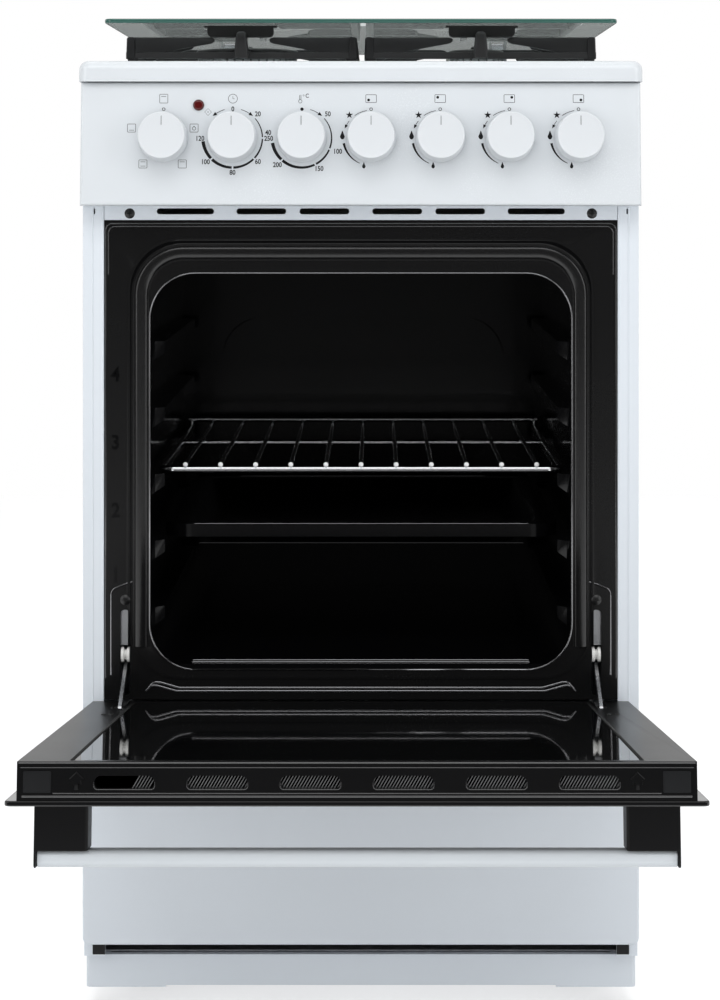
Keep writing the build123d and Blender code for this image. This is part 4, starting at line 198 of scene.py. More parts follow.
def round_rect(half_w: float, half_h: float, radius: float, steps: int = 8) -> Array:
    """Outline of a rectangle with round corners, anticlockwise from the right-hand lower corner.

    Each corner is a quarter circle: centre plus radius times the cosine and sine of an even run of angles.

    Args:
        half_w: half the width.
        half_h: half the height.
        radius: corner radius.
        steps: points on each corner.

    Returns:
        4 * steps by 2 array.
    """
    quarter = np.linspace(0, np.pi / 2, steps)
    start = np.array([-np.pi / 2, 0, np.pi / 2, np.pi])
    centre = np.array([[1, -1], [1, 1], [-1, 1], [-1, -1]]) * [half_w - radius, half_h - radius]
    angle = start[:, None] + quarter[None, :]
    arc = np.stack([np.cos(angle), np.sin(angle)], -1) * radius
    return (centre[:, None, :] + arc).reshape(-1, 2)


def ring_path(radius: float, steps: int) -> Array:
    """Evenly spaced points on a circle, anticlockwise from the right."""
    angle = np.linspace(0, 2 * np.pi, steps, endpoint=False)
    return np.stack([np.cos(angle), np.sin(angle)], -1) * radius


def rounded_path(corners: Sequence[Point], radius: float, steps: int = 8) -> Array:
    """Centre line through corners given in millimetres, each turned into an arc.

    An arc touches both runs at the radius divided by the tangent of half the corner's angle, and its points are
    worked out between its two ends on the circle.

    Args:
        corners: points in millimetres.
        radius: bend radius in millimetres.
        steps: points on each bend.

    Returns:
        N by 3 array in metres.
    """
    points = np.array(corners, float)
    path = [points[0]]
    for before, here, after in zip(points[:-2], points[1:-1], points[2:]):
        into, out = np.linalg.norm(before - here), np.linalg.norm(after - here)
        back, ahead = (before - here) / into, (after - here) / out
        half = np.arccos(np.clip(back @ ahead, -1, 1)) / 2
        reach = min(radius / np.tan(half), 0.49 * into, 0.49 * out)
        bend = reach * np.tan(half)
        bisector = (back + ahead) / np.linalg.norm(back + ahead)
        centre = here + bisector * bend / np.sin(half)
        start, end = here + back * reach - centre, here + ahead * reach - centre
        turn = np.arccos(np.clip(start @ end / bend**2, -1, 1))
        t = np.linspace(0, 1, steps)[:, None]
        path.extend(centre + (np.sin((1 - t) * turn) * start + np.sin(t * turn) * end) / np.sin(turn))
    path.append(points[-1])
    return np.array(path) * MM


def swept(path: Array, section: Array, up: Point = UPWARD) -> Array:
    """Surface of a section carried along a path.

    At each path point the section's first axis is the path's direction cross the up vector, and its second
    axis is that axis cross the direction, so the section stays upright.

    Args:
        path: N by 3 centre line.
        section: M by 2 closed outline.
        up: direction that the section's second axis leans to.

    Returns:
        N by M by 3 grid.
    """
    ahead = np.gradient(path, axis=0)
    ahead /= np.linalg.norm(ahead, axis=1)[:, None]
    side = np.cross(ahead, np.array(up, float))
    side /= np.linalg.norm(side, axis=1)[:, None]
    top = np.cross(side, ahead)
    return path[:, None, :] + section[None, :, :1] * side[:, None, :] + section[None, :, 1:] * top[:, None, :]


def loaf(half_w: float, half_d: float, radius: float, level: Spot, edge: float, centre: Spot,
         steps: int = 6) -> Array:
    """Surface of an upright block with round corners and rounded upper and lower edges.

    Rows run up the block. Near each end the outline draws in by the edge times one minus the cosine of an
    angle while its height follows the sine.

    Args:
        half_w: half the size along X in millimetres.
        half_d: half the size along Y.
        radius: radius of the upright corners.
        level: lower and upper Z.
        edge: radius of the upper and lower edges.
        centre: X and Y of the middle.
        steps: rows on each rounded edge.

    Returns:
        Rows by points by 3 grid in millimetres.
    """
    bend = np.linspace(0, np.pi / 2, steps)
    inset = np.concatenate([edge * (1 - np.sin(bend)), edge * (1 - np.cos(bend))])
    heights = np.concatenate([level[0] + edge * (1 - np.cos(bend)), level[1] - edge * (1 - np.sin(bend))])
    return np.array([raised(round_rect(half_w - draw, half_d - draw, max(radius - draw, 0.05)) + centre, z)
                     for draw, z in zip(inset, heights)])


def bars(name: str, runs: Sequence[tuple[Array, float]], sides: int = 10, up: Point = UPWARD) -> Piece:
    """One piece of round bars.

    Args:
        name: the piece's name.
        runs: each bar's path in metres and its radius in millimetres.
        sides: points round a bar.
        up: direction that their sections lean to.

    Returns:
        The piece.
    """
    shell = Shell()
    for path, radius in runs:
        shell.tube(path, radius * MM, sides, up)
    return shell.solid(name, 50)


def feed(node: bpy.types.Node, inputs: dict) -> bpy.types.Node:
    """Links a socket to each input that the dictionary names or numbers, or sets its value."""
    for key, value in inputs.items():
        if isinstance(value, Socket):
            node.id_data.links.new(value, node.inputs[key])
        else:
            node.inputs[key].default_value = value
    return node


def add_node(tree: Tree, kind: str, inputs: dict, **settings: str) -> bpy.types.Node:
    """Adds a node, gives it its settings, then links or sets its inputs.

    Args:
        tree: node tree to add to.
        kind: the node's type, without ShaderNode.
        inputs: a socket or a value for each input's name or number.
        settings: the node's own properties.

    Returns:
        The node.
    """
    node = tree.nodes.new(f"ShaderNode{kind}")
    for key, value in settings.items():
        setattr(node, key, value)
    return feed(node, inputs)


def maths(tree: Tree, operation: str, *values: object) -> Socket:
    """Adds a Math node on sockets or numbers and hands back its result."""
    return add_node(tree, "Math", dict(enumerate(values)), operation=operation).outputs[0]


class Grain(Enum):
    """What breaks up a surface."""

    SMOOTH = "smooth"
    MOULDED = "moulded"
    CAST = "cast"
    SPANGLE = "spangle"


@dataclass(frozen=True)
class Finish:
    """A surface finish: its colour, its gloss and the fine grain that breaks both up.

    Attributes:
        name: the finish's name.
        colour: base colour, linear.
        rough: mean roughness.
        pitch: grains to the metre.
        relief: bump height in millimetres.
        tint: how far the colour wanders, as a share.
        grain: kind of surface grain.
        metal: metallic share.
        coat: clear coat weight.
        haze: how far the roughness wanders.
        through: transmission weight.
        index: refractive index.
        stretch: scale of the grain along X, Y and Z.
        shine: specular level, where 0.5 is a plain varnish.
        coat_rough: roughness of the clear coat.
        broad: scale of the broad pattern.
    """

    name: str
    colour: Point
    rough: float
    pitch: float
    relief: float
    tint: float = 0.03
    grain: Grain = Grain.SMOOTH
    metal: float = 0.0
    coat: float = 0.0
    haze: float = 0.06
    through: float = 0.0
    index: float = 1.5
    stretch: Point = (1.0, 1.0, 1.0)
    shine: float = 0.5
    coat_rough: float = 0.04
    broad: float = 9.0

    def material(self) -> bpy.types.Material:
        """Builds the finish as a node material, or returns it if it is there."""
        title = f"finish_{self.name}"
        if title in bpy.data.materials:
            return bpy.data.materials[title]
        made = bpy.data.materials.new(title)
        made.use_nodes = True
        tree = made.node_tree
        shader = feed(tree.nodes["Principled BSDF"], {
            "Metallic": self.metal, "Coat Weight": self.coat, "Coat Roughness": self.coat_rough,
            "Transmission Weight": self.through, "IOR": self.index, "Specular IOR Level": self.shine,
            "Roughness": self.rough})
        place = add_node(tree, "TexCoord", {}).outputs["Object"]
        fit = add_node(tree, "Mapping", {"Scale": self.stretch, "Vector": place})
        fine = self._pattern(tree, fit.outputs["Vector"])
        broad = add_node(tree, "TexNoise", {"Scale": self.broad, "Detail": 4.0, "Vector": place})
        blend = maths(tree, "MULTIPLY_ADD", broad.outputs["Fac"], 0.5, maths(tree, "MULTIPLY", fine, 0.5))
        mix = add_node(tree, "Mix", {"A": self._shade(1 - self.tint), "B": self._shade(1 + self.tint),
                                     "Factor": blend}, data_type="RGBA")
        bump = add_node(tree, "Bump", {"Strength": 1.0, "Distance": self.relief * MM, "Height": fine})
        feed(shader, {"Base Color": mix.outputs["Result"], "Normal": bump.outputs["Normal"]})
        if self.haze:
            gloss = add_node(tree, "MapRange", {"To Min": max(0.02, self.rough - self.haze),
                                                "To Max": min(1.0, self.rough + self.haze), "Value": blend})
            feed(shader, {"Roughness": gloss.outputs["Result"]})
        return made

    def _shade(self, share: float) -> tuple[float, ...]:
        """The colour times a share, with its alpha."""
        return (*[min(1.0, channel * share) for channel in self.colour], 1.0)

    def _pattern(self, tree: Tree, vector: Socket) -> Socket:
        """Adds the fine pattern of the grain.

        Args:
            tree: node tree to add to.
            vector: coordinates that the pattern reads.

        Returns:
            Socket with a value from 0 to 1.
        """
        if self.grain in (Grain.SPANGLE, Grain.CAST):
            cells = add_node(tree, "TexVoronoi", {"Scale": self.pitch, "Vector": vector})
            if self.grain is Grain.CAST:
                return cells.outputs["Distance"]
            return add_node(tree, "RGBToBW", {"Color": cells.outputs["Color"]}).outputs["Val"]
        detail = 6.0 if self.grain is Grain.MOULDED else 2.0
        return add_node(tree, "TexNoise", {"Scale": self.pitch, "Detail": detail, "Roughness": 0.5,
                                           "Vector": vector}).outputs["Fac"]

    def on(self, piece: Piece) -> None:
        """Gives a piece this finish alone."""
        piece.data.materials.clear()
        piece.data.materials.append(self.material())


class Finishes:
    """Every finish of the cooker: name, colour, roughness, pitch and relief of its grain, tint and the rest."""

    WHITE = Finish("white_enamel", (0.72, 0.757, 0.79), 0.26, 900, 0.004, 0.012, coat=0.12)
    SHEET_WHITE = Finish("white_lacquer", (0.75, 0.8, 0.855), 0.34, 1100, 0.006, 0.015)
    WHITE_KNOB = Finish("knob_plastic", (0.72, 0.75, 0.78), 0.3, 1800, 0.004, 0.01, Grain.MOULDED)
    BLACK_ENAMEL = Finish("cavity_enamel", (0.002, 0.0021, 0.0025), 0.16, 520, 0.01, 0.3, coat=0.12, shine=0.3)
    FRONT_ENAMEL = Finish("front_frame_enamel", (0.0055, 0.0055, 0.0057), 0.26, 800, 0.006, 0.15, shine=0.22)
    CAST = Finish("cast_iron_enamel", (0.011, 0.011, 0.012), 0.5, 900, 0.06, 0.4, Grain.CAST, shine=0.45)
    CAP = Finish("cap_enamel", (0.008, 0.008, 0.009), 0.36, 1400, 0.01, 0.2)
    ALLOY = Finish("spreader_alloy", (0.4, 0.41, 0.42), 0.5, 1500, 0.02, 0.03, Grain.MOULDED, metal=1.0)
    ZINC = Finish("galvanised_sheet", (0.5, 0.51, 0.53), 0.38, 160, 0.004, 0.14, Grain.SPANGLE, metal=1.0, haze=0.1)
    STAMPED = Finish("stamped_steel", (0.55, 0.56, 0.58), 0.26, 900, 0.004, 0.08, metal=1.0)
    CHROME = Finish("chromed_wire", (0.82, 0.83, 0.85), 0.1, 700, 0.002, 0.04, metal=1.0, haze=0.04)
    BRASS = Finish("turned_brass", (0.66, 0.46, 0.2), 0.3, 900, 0.004, metal=1.0)
    STEEL_TUBE = Finish("drawn_tube", (0.42, 0.43, 0.45), 0.4, 600, 0.01, 0.1, metal=1.0)
    HEATER = Finish("heater_sheath", (0.09, 0.085, 0.08), 0.55, 900, 0.02, 0.3, Grain.MOULDED, metal=0.6)
    BLACK_PLASTIC = Finish("black_moulding", (0.003, 0.003, 0.0035), 0.42, 2200, 0.02, 0.2, Grain.MOULDED, shine=0.18)
    CAP_PLASTIC = Finish("corner_cap_plastic", (0.008, 0.0085, 0.0095), 0.5, 2200, 0.02, 0.15, Grain.MOULDED,
                         shine=0.18)
    BEAD = Finish("door_bead_gloss", (0.01, 0.01, 0.011), 0.08, 900, 0.002, 0.1, coat=1.0, haze=0.03, shine=0.8)
    # Painted highlight: black enamel edges and beads drawn as bright grey metal so that they show light lines.
    GLINT = Finish("edge_highlight_metal", (0.3, 0.3, 0.31), 0.12, 900, 0.002, 0.1, metal=1.0, haze=0.03)
    # Painted highlight: the chrome shelf's wire ends drawn white so that they show as bright dots.
    WIRE_END = Finish("wire_end_highlight", (0.86, 0.86, 0.87), 0.3, 1800, 0.004, 0.03, Grain.MOULDED, coat=0.3)
    DOOR_BLACK = Finish("door_frame_black", (0.0022, 0.0022, 0.0025), 0.3, 1800, 0.008, 0.2, Grain.MOULDED,
                        shine=0.17)
    BLACK_OXIDE = Finish("black_screw", (0.004, 0.004, 0.0045), 0.35, 1500, 0.01, 0.03, Grain.MOULDED)
    # The tray's own black enamel; on the seal's groove, the rear wall's pressing and the shelf numbers this near
    # black is painted shade.
    TRAY = Finish("tray_enamel_and_shade", (0.0014, 0.0014, 0.0017), 0.2, 520, 0.008, 0.3, shine=0.16, haze=0.05)
    # Mid grey: partly the vent ribs' own colour, partly painted light, lightened because little light reaches into
    # the vents.
    VENT_PLATE = Finish("vent_plate", (0.1, 0.1, 0.103), 0.45, 1800, 0.01, 0.2, Grain.MOULDED)
    RUBBER = Finish("seal_rubber", (0.004, 0.004, 0.0043), 0.24, 1600, 0.006, 0.15, Grain.MOULDED, shine=0.6)
    # Matt black rubber for buffers, joints and rivets; on the patches behind the drawer it is painted shade.
    BUFFER = Finish("buffer_rubber", (0.006, 0.006, 0.006), 0.6, 1300, 0.03, 0.03, Grain.MOULDED, shine=0.3)
    RED_LENS = Finish("red_lens", (0.085, 0.002, 0.002), 0.16, 500, 0.004, coat=0.5)
    CERAMIC = Finish("glazed_ceramic", (0.78, 0.76, 0.7), 0.2, 900, 0.006, coat=0.5)
    WOOL = Finish("mineral_wool", (0.55, 0.5, 0.34), 0.95, 260, 0.6, 0.25, Grain.MOULDED)
    LAMP_GLASS = Finish("lamp_glass", (0.9, 0.9, 0.88), 0.1, 300, 0.02, through=0.6)
    ROLLER = Finish("white_roller", (0.72, 0.72, 0.7), 0.3, 1500, 0.006, 0.03, Grain.MOULDED)
    LID_GLASS = Finish("lid_glass", (0.7, 0.765, 0.75), 0.0, 3, 0.002, 0.004, through=1.0, haze=0.0, index=1.52)
    LID_EDGE = Finish("lid_edge", (0.026, 0.105, 0.086), 0.22, 40, 0.004, 0.12, coat=0.3)
    OUTER_GLASS = Finish("black_glass", (0.004, 0.004, 0.0045), 0.05, 3, 0.001, 0.1, haze=0.01)
    INNER_GLASS = Finish("inner_pane", (0.004, 0.0043, 0.0045), 0.03, 3, 0.001, 0.1, haze=0.01, index=1.6)
    HANDLE = Finish("anodised_bar", (0.62, 0.66, 0.695), 0.34, 500, 0.006, coat=0.2, stretch=(0.04, 1.0, 1.0))
    PRINT = Finish("printed_ink", (0.008, 0.008, 0.009), 0.5, 1600, 0.002, 0.03, Grain.MOULDED, shine=0.2)
    GREY_PRINT = Finish("grey_ink", (0.075, 0.08, 0.085), 0.5, 1600, 0.002, 0.03, Grain.MOULDED)


KNOBS = (("knob_function", "function_knob"), ("knob_timer", "timer_knob"), ("knob_thermostat", "thermostat_knob"),
         *((f"knob_gas_{number}", f"gas_knob_{number}") for number in range(1, 5)))

SHOWN_NODES: dict[Finish, tuple[str, ...]] = {
    Finishes.ZINC: ("rear_panel", "drawer_box"),
    Finishes.BLACK_PLASTIC: ("oven_switches", "ignition_unit", "cable_gland"),
    Finishes.BLACK_OXIDE: ("body_screws",),
    Finishes.RED_LENS: ("indicator_lamp",),
    Finishes.ALLOY: ("burner_cups", "flame_spreaders"),
    Finishes.BRASS: ("injectors", "gas_taps", "gas_inlet", *(f"tap_spindle_{number}" for number in range(1, 5))),
    Finishes.CAP: ("burner_caps",),
    Finishes.CERAMIC: ("spark_electrodes",),
    Finishes.STEEL_TUBE: ("gas_manifold", "gas_pipes"),
    Finishes.WOOL: ("insulation",),
    Finishes.HEATER: ("top_element", "bottom_element"),
    Finishes.LAMP_GLASS: ("oven_lamp",),
    Finishes.ROLLER: ("hinge_rollers",),
    Finishes.BUFFER: ("lid_buffers",),
    Finishes.CHROME: ("wire_shelf",),
}


def dress_shown_nodes() -> None:
    """Gives every node of the frame that is shown as it is its finish."""
    for finish, names in SHOWN_NODES.items():
        for name in names:
            finish.on(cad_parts[name])
            LOG.info("%s: %s", name, finish.name)


def settle(pieces: Sequence[Piece], finish: Finish, body: str, slot: str,
           node: str = "") -> list[Piece]:
    """Gives pieces, and the CAD node that they stand in for, their finish and their place in the cooker.

    Args:
        pieces: the pieces.
        finish: what they are made of.
        body: the body that they ride on.
        slot: not used.
        node: the CAD node that they stand in for, if there is one.

    Returns:
        The pieces as a list.
    """
    for piece in pieces:
        finish.on(piece)
        if node:
            finish.on(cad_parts[node])
            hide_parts(node)
        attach(piece, body)
    return list(pieces)


def formed(node: str, width: float, finish: Finish, body: str, slot: str, segments: int = 2, angle: float = 40.0,
           name: str = "") -> list[Piece]:
    """A copy of a CAD node whose hard edges are rounded, standing in for that node.

    The copy's loose triangles are merged, flat neighbours are joined, and a bevel rounds what is left sharp.

    Args:
        node: the CAD node.
        width: width of the rounding in millimetres.
        finish: what it is made of.
        body: the body that it rides on.
        slot: not used.
        segments: steps of the rounding.
        angle: sharpness in degrees from which an edge is rounded.
        name: the new piece's name, if it isn't the node's with formed after it.

    Returns:
        The piece, alone in a list.
    """
    name = name or f"{node}_formed"
    work = bmesh.new()
    work.from_mesh(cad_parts[node].data)
    bmesh.ops.remove_doubles(work, verts=work.verts, dist=MERGE_CAD_POINTS)
    bmesh.ops.dissolve_limit(work, angle_limit=math.radians(FLAT_DEGREES), verts=work.verts, edges=work.edges)
    mesh = bpy.data.meshes.new(name)
    work.to_mesh(mesh)
    work.free()
    piece = bpy.data.objects.new(name, mesh)
    bpy.context.scene.collection.objects.link(piece)
    bevel = piece.modifiers.new("edge", "BEVEL")
    bevel.width = width * MM
    bevel.segments = segments
    bevel.limit_method = "ANGLE"
    bevel.angle_limit = math.radians(angle)
    bevel.use_clamp_overlap = True
    bevel.harden_normals = True
    return settle([crisp(piece, angle)], finish, body, slot, node)


@dataclass(frozen=True)
class Lamp:
    """A rectangular soft box: its name, place in metres, rotation in degrees, size in metres and watts."""

    name: str
    place: Point
    turn: Point
    size: Spot
    power: float
    mirrored: bool = True

    def put(self) -> None:
        """Adds the lamp to the scene."""
        data = bpy.data.lights.new(self.name, "AREA")
        data.shape = "RECTANGLE"
        data.size, data.size_y = self.size
        data.energy = self.power
        lamp = bpy.data.objects.new(self.name, data)
        lamp.location = self.place
        lamp.rotation_euler = tuple(math.radians(angle) for angle in self.turn)
        lamp.visible_glossy = self.mirrored
        bpy.context.scene.collection.objects.link(lamp)


@dataclass(frozen=True)
class Studio:
    """Camera, floor and soft lights.

    Attributes:
        eye: the camera's place in metres.
        focal: focal length in millimetres on a 36 mm frame height.
        shift: sideways and upward lens shift.
        ambient: world light on the cooker.
        room: brightness of the room behind the camera, as mirrors see it.
        floor_half: half the floor's size in metres.
        floor_colour: the floor's colour with its alpha.
        floor_lift: brightness added to the floor where it is looked at.
        lamps: soft boxes above in front, at each side, overhead and low in front.
    """

    eye: Point = (0.0123, -2.404, 0.740)
    focal: float = 85.3
    shift: Spot = (-0.0146, -0.315)
    ambient: float = 0.42
    room: float = 0.1
    floor_half: float = 3.2
    floor_colour: tuple[float, ...] = (0.9, 0.905, 0.91, 1)
    floor_lift: float = 0.5
    lamps: tuple[Lamp, ...] = (
        Lamp("key", (0.0, -2.6, 3.0), (50, 0, 0), (3.2, 1.6), 39),
        Lamp("left", (-2.4, -2.0, 1.4), (80, 0, -50), (1.2, 2.4), 19),
        Lamp("right", (2.4, -2.0, 1.4), (80, 0, 50), (1.2, 2.4), 21),
        Lamp("top", (0.0, 0.2, 3.2), (0, 0, 0), (2.4, 2.4), 15),
        Lamp("low", (0.0, -3.0, 0.35), (86, 0, 0), (2.6, 0.6), 9.5, mirrored=False),
    )

    def set_up(self) -> None:
        """Makes everything that isn't part of the cooker."""
        self.camera()
        self.floor()
        self.world()
        for lamp in self.lamps:
            lamp.put()

    def camera(self) -> None:
        """The photograph's viewpoint, level, so that uprights stay parallel."""
        data = bpy.data.cameras.new("camera")
        data.lens = self.focal
        data.sensor_width = 36.0
        data.shift_x, data.shift_y = self.shift
        data.clip_end = 100.0
        camera = bpy.data.objects.new("camera", data)
        camera.location = self.eye
        camera.rotation_euler = (math.radians(90), 0, 0)
        bpy.context.scene.collection.objects.link(camera)
        bpy.context.scene.camera = camera

    def floor(self) -> None:
        """A pale floor round the cooker; beyond it the camera sees the white of the world."""
        corners = np.array([[-1, -1, 0], [1, -1, 0], [1, 1, 0], [-1, 1, 0]]) * self.floor_half
        floor = put_mesh("floor", corners, [[0, 1, 2, 3]], smooth=False)
        paint = bpy.data.materials.new("floor_paint")
        paint.use_nodes = True
        tree = paint.node_tree
        shader = feed(tree.nodes["Principled BSDF"], {"Base Color": self.floor_colour, "Roughness": 0.6,
                                                      "Specular IOR Level": 0.1})
        glow = add_node(tree, "Emission", {"Strength": self.seen(tree, self.floor_lift)})
        both = add_node(tree, "AddShader", {0: shader.outputs["BSDF"], 1: glow.outputs["Emission"]})
        feed(tree.nodes["Material Output"], {"Surface": both.outputs["Shader"]})
        floor.data.materials.append(paint)

    @staticmethod
    def seen(tree: Tree, value: float) -> Socket:
        """A value for camera, mirror and glass rays, and nothing for the rays that light the cooker."""
        path = add_node(tree, "LightPath", {}).outputs
        looked = maths(tree, "MAXIMUM", path["Is Camera Ray"], path["Is Glossy Ray"])
        return maths(tree, "MULTIPLY", maths(tree, "MAXIMUM", looked, path["Is Transmission Ray"]), value)

    def world(self) -> None:
        """White behind the cooker to camera, mirrors and glass, soft grey light for everything else.

        Mirrors see the room grow darker towards the camera's side, where the direction's Y runs from -0.35 to
        0.35, and below the horizon past the floor's edge, where its Z runs from -0.03 to 0.01.
        """
        world = bpy.data.worlds.new("studio")
        bpy.context.scene.world = world
        world.use_nodes = True
        tree = world.node_tree
        way = add_node(tree, "TexCoord", {}).outputs["Generated"]
        split = add_node(tree, "SeparateXYZ", {"Vector": way}).outputs
        room, sky = [add_node(tree, "MapRange", {"From Min": low, "From Max": high, "To Min": self.room,
                                                 "To Max": 1.0, "Value": split[axis]}).outputs["Result"]
                     for axis, low, high in (("Y", -0.35, 0.35), ("Z", -0.03, 0.01))]
        path = add_node(tree, "LightPath", {}).outputs
        mirrored = add_node(tree, "Mix", {"A": self.ambient, "B": maths(tree, "MINIMUM", room, sky),
                                          "Factor": path["Is Glossy Ray"]})
        plain = maths(tree, "MAXIMUM", path["Is Camera Ray"], path["Is Transmission Ray"])
        strength = add_node(tree, "Mix", {"A": mirrored.outputs["Result"], "B": 1.0, "Factor": plain})
        feed(tree.nodes["Background"], {"Color": (1, 1, 1, 1), "Strength": strength.outputs["Result"]})


@dataclass(frozen=True)
class Place:
    """A flat place on the cooker with its own directions, all in metres.

    Attributes:
        origin: the place's middle.
        right: unit vector to the right.
        up: unit vector upwards along the place.
    """

    origin: Point
    right: Point
    up: Point

    def at(self, flat: Array, height: float | Array) -> Array:
        """Puts flat points on the place: origin plus right, up and outward shares.

        Args:
            flat: array of points whose last axis is right and up, in metres.
            height: distance out of the place, one value or one for each point.

        Returns:
            Array of points in space.
        """
        right, up = np.array(self.right, float), np.array(self.up, float)
        lift = np.asarray(height, float)[..., None] * np.cross(right, up)
        return np.array(self.origin, float) + flat[..., :1] * right + flat[..., 1:] * up + lift


@dataclass
class Ink:
    """Thin print on a place, gathered into one closed mesh. All in metres.

    Attributes:
        place: where it is printed.
        height: how far it stands out.
        sunk: how deep it reaches below the surface.
        squeeze: width of the figures as a share of the font's.
        shell: the mesh.
    """

    place: Place
    height: float = 0.09 * MM
    sunk: float = 0.03 * MM
    squeeze: float = 0.86
    shell: Shell = field(default_factory=Shell)

    def skin(self, inner: Array, outer: Array, **closing: bool) -> "Ink":
        """Adds a skin round the space between two lines, from the print's lower level to its upper one."""
        corners = ((inner, -self.sunk), (outer, -self.sunk), (outer, self.height), (inner, self.height))
        self.shell.grid(np.stack([self.place.at(line, level) for line, level in corners], 1), **closing)
        return self

    def stroke(self, line: Array, width: float | Array, closed: bool = False) -> "Ink":
        """Adds a line of a width; both edges lie half a width to its sides.

        Args:
            line: N by 2 line in metres.
            width: one width or one for each point, in metres.
            closed: whether the line is a loop.

        Returns:
            This ink.
        """
        ahead = (np.roll(line, -1, 0) - np.roll(line, 1, 0)) if closed else np.gradient(line, axis=0)
        ahead /= np.linalg.norm(ahead, axis=1)[:, None]
        side = np.stack([-ahead[:, 1], ahead[:, 0]], -1) * (np.asarray(width, float).reshape(-1, 1) / 2)
        return self.skin(line + side, line - side, close_rows=closed, close_columns=True, caps=not closed)

    def solid(self, outline: Array) -> "Ink":
        """Adds a filled shape from its outline."""
        return self.skin(np.repeat(outline.mean(0)[None], len(outline), 0), outline, close_rows=True)

    def box(self, centre: Array, half_w: float, half_h: float, width: float) -> "Ink":
        """Adds a rectangle's outline, its half sizes in millimetres and its line's width in metres."""
        return self.stroke(centre + round_rect(half_w * MM, half_h * MM, 0.5 * MM, 3), width, closed=True)

    def line(self, centre: Array, points: Sequence[Spot], width: float) -> "Ink":
        """Adds a line through points given in millimetres from a centre."""
        return self.stroke(centre + np.array(points, float) * MM, width)

    def arc(self, centre: Array, radius: float, first: float, last: float, width: Spot) -> "Ink":
        """Adds an arc given by clock angles.

        A clock angle runs clockwise from straight up, so a point is centre plus radius times its sine and cosine.

        Args:
            centre: middle of the dial.
            radius: radius in metres.
            first: clock angle of its start, in degrees.
            last: clock angle of its end.
            width: width at the start and at the end, in metres.

        Returns:
            This ink.
        """
        steps = max(3, int(abs(last - first) / 3))
        angle = np.radians(np.linspace(first, last, steps))
        line = centre + radius * np.stack([np.sin(angle), np.cos(angle)], -1)
        return self.stroke(line, np.linspace(width[0], width[1], steps))

    def arrow(self, centre: Array, radius: float, first: float, last: float, width: float,
              head: float) -> "Ink":
        """Adds a thin arc that ends in an arrow head.

        Args:
            centre: middle of the dial.
            radius: radius in metres.
            first: clock angle of its start, in degrees.
            last: clock angle of the head's foot.
            width: the arc's width in metres.
            head: the head's length in metres.

        Returns:
            This ink.
        """
        self.arc(centre, radius, first, last, (width, width))
        angle = math.radians(last)
        tip = centre + radius * np.array([math.sin(angle), math.cos(angle)])
        ahead = math.copysign(1.0, last - first) * np.array([math.cos(angle), -math.sin(angle)])
        side = np.array([-ahead[1], ahead[0]])
        return self.solid(np.array([tip + ahead * head, tip + side * head * 0.42, tip - side * head * 0.42]))

    def words(self, text: str, centre: Array, height: float) -> "Ink":
        """Adds figures as thin solid letters centred on a point.

        Args:
            text: what to write.
            centre: middle of the text in metres.
            height: height of the figures in metres.

        Returns:
            This ink.
        """
        curve = bpy.data.curves.new("figures", "FONT")
        curve.body = text
        curve.align_x = curve.align_y = "CENTER"
        curve.size = height * 1.42
        curve.resolution_u = 3
        curve.extrude = (self.height + self.sunk) / 2
        curve.offset = 0.03 * height
        temporary = bpy.data.objects.new("figures", curve)
        bpy.context.scene.collection.objects.link(temporary)
        bpy.context.view_layer.update()
        mesh = bpy.data.meshes.new_from_object(temporary.evaluated_get(bpy.context.evaluated_depsgraph_get()))
        flat = np.zeros(len(mesh.vertices) * 3, np.float32)
        mesh.vertices.foreach_get("co", flat)
        flat = flat.reshape(-1, 3).astype(float)
        lift = flat[:, 2] + (self.height - self.sunk) / 2
        self.shell.points.append(self.place.at(flat[:, :2] * [self.squeeze, 1.0] + centre, lift))
        self.shell.faces.extend([[i + self.shell.count for i in face.vertices] for face in mesh.polygons])
        self.shell.count += len(flat)
        bpy.data.objects.remove(temporary)
        bpy.data.meshes.remove(mesh)
        return self

    def piece(self, name: str) -> Piece:
        """Makes the print one piece."""
        return self.shell.solid(name, smooth=False)


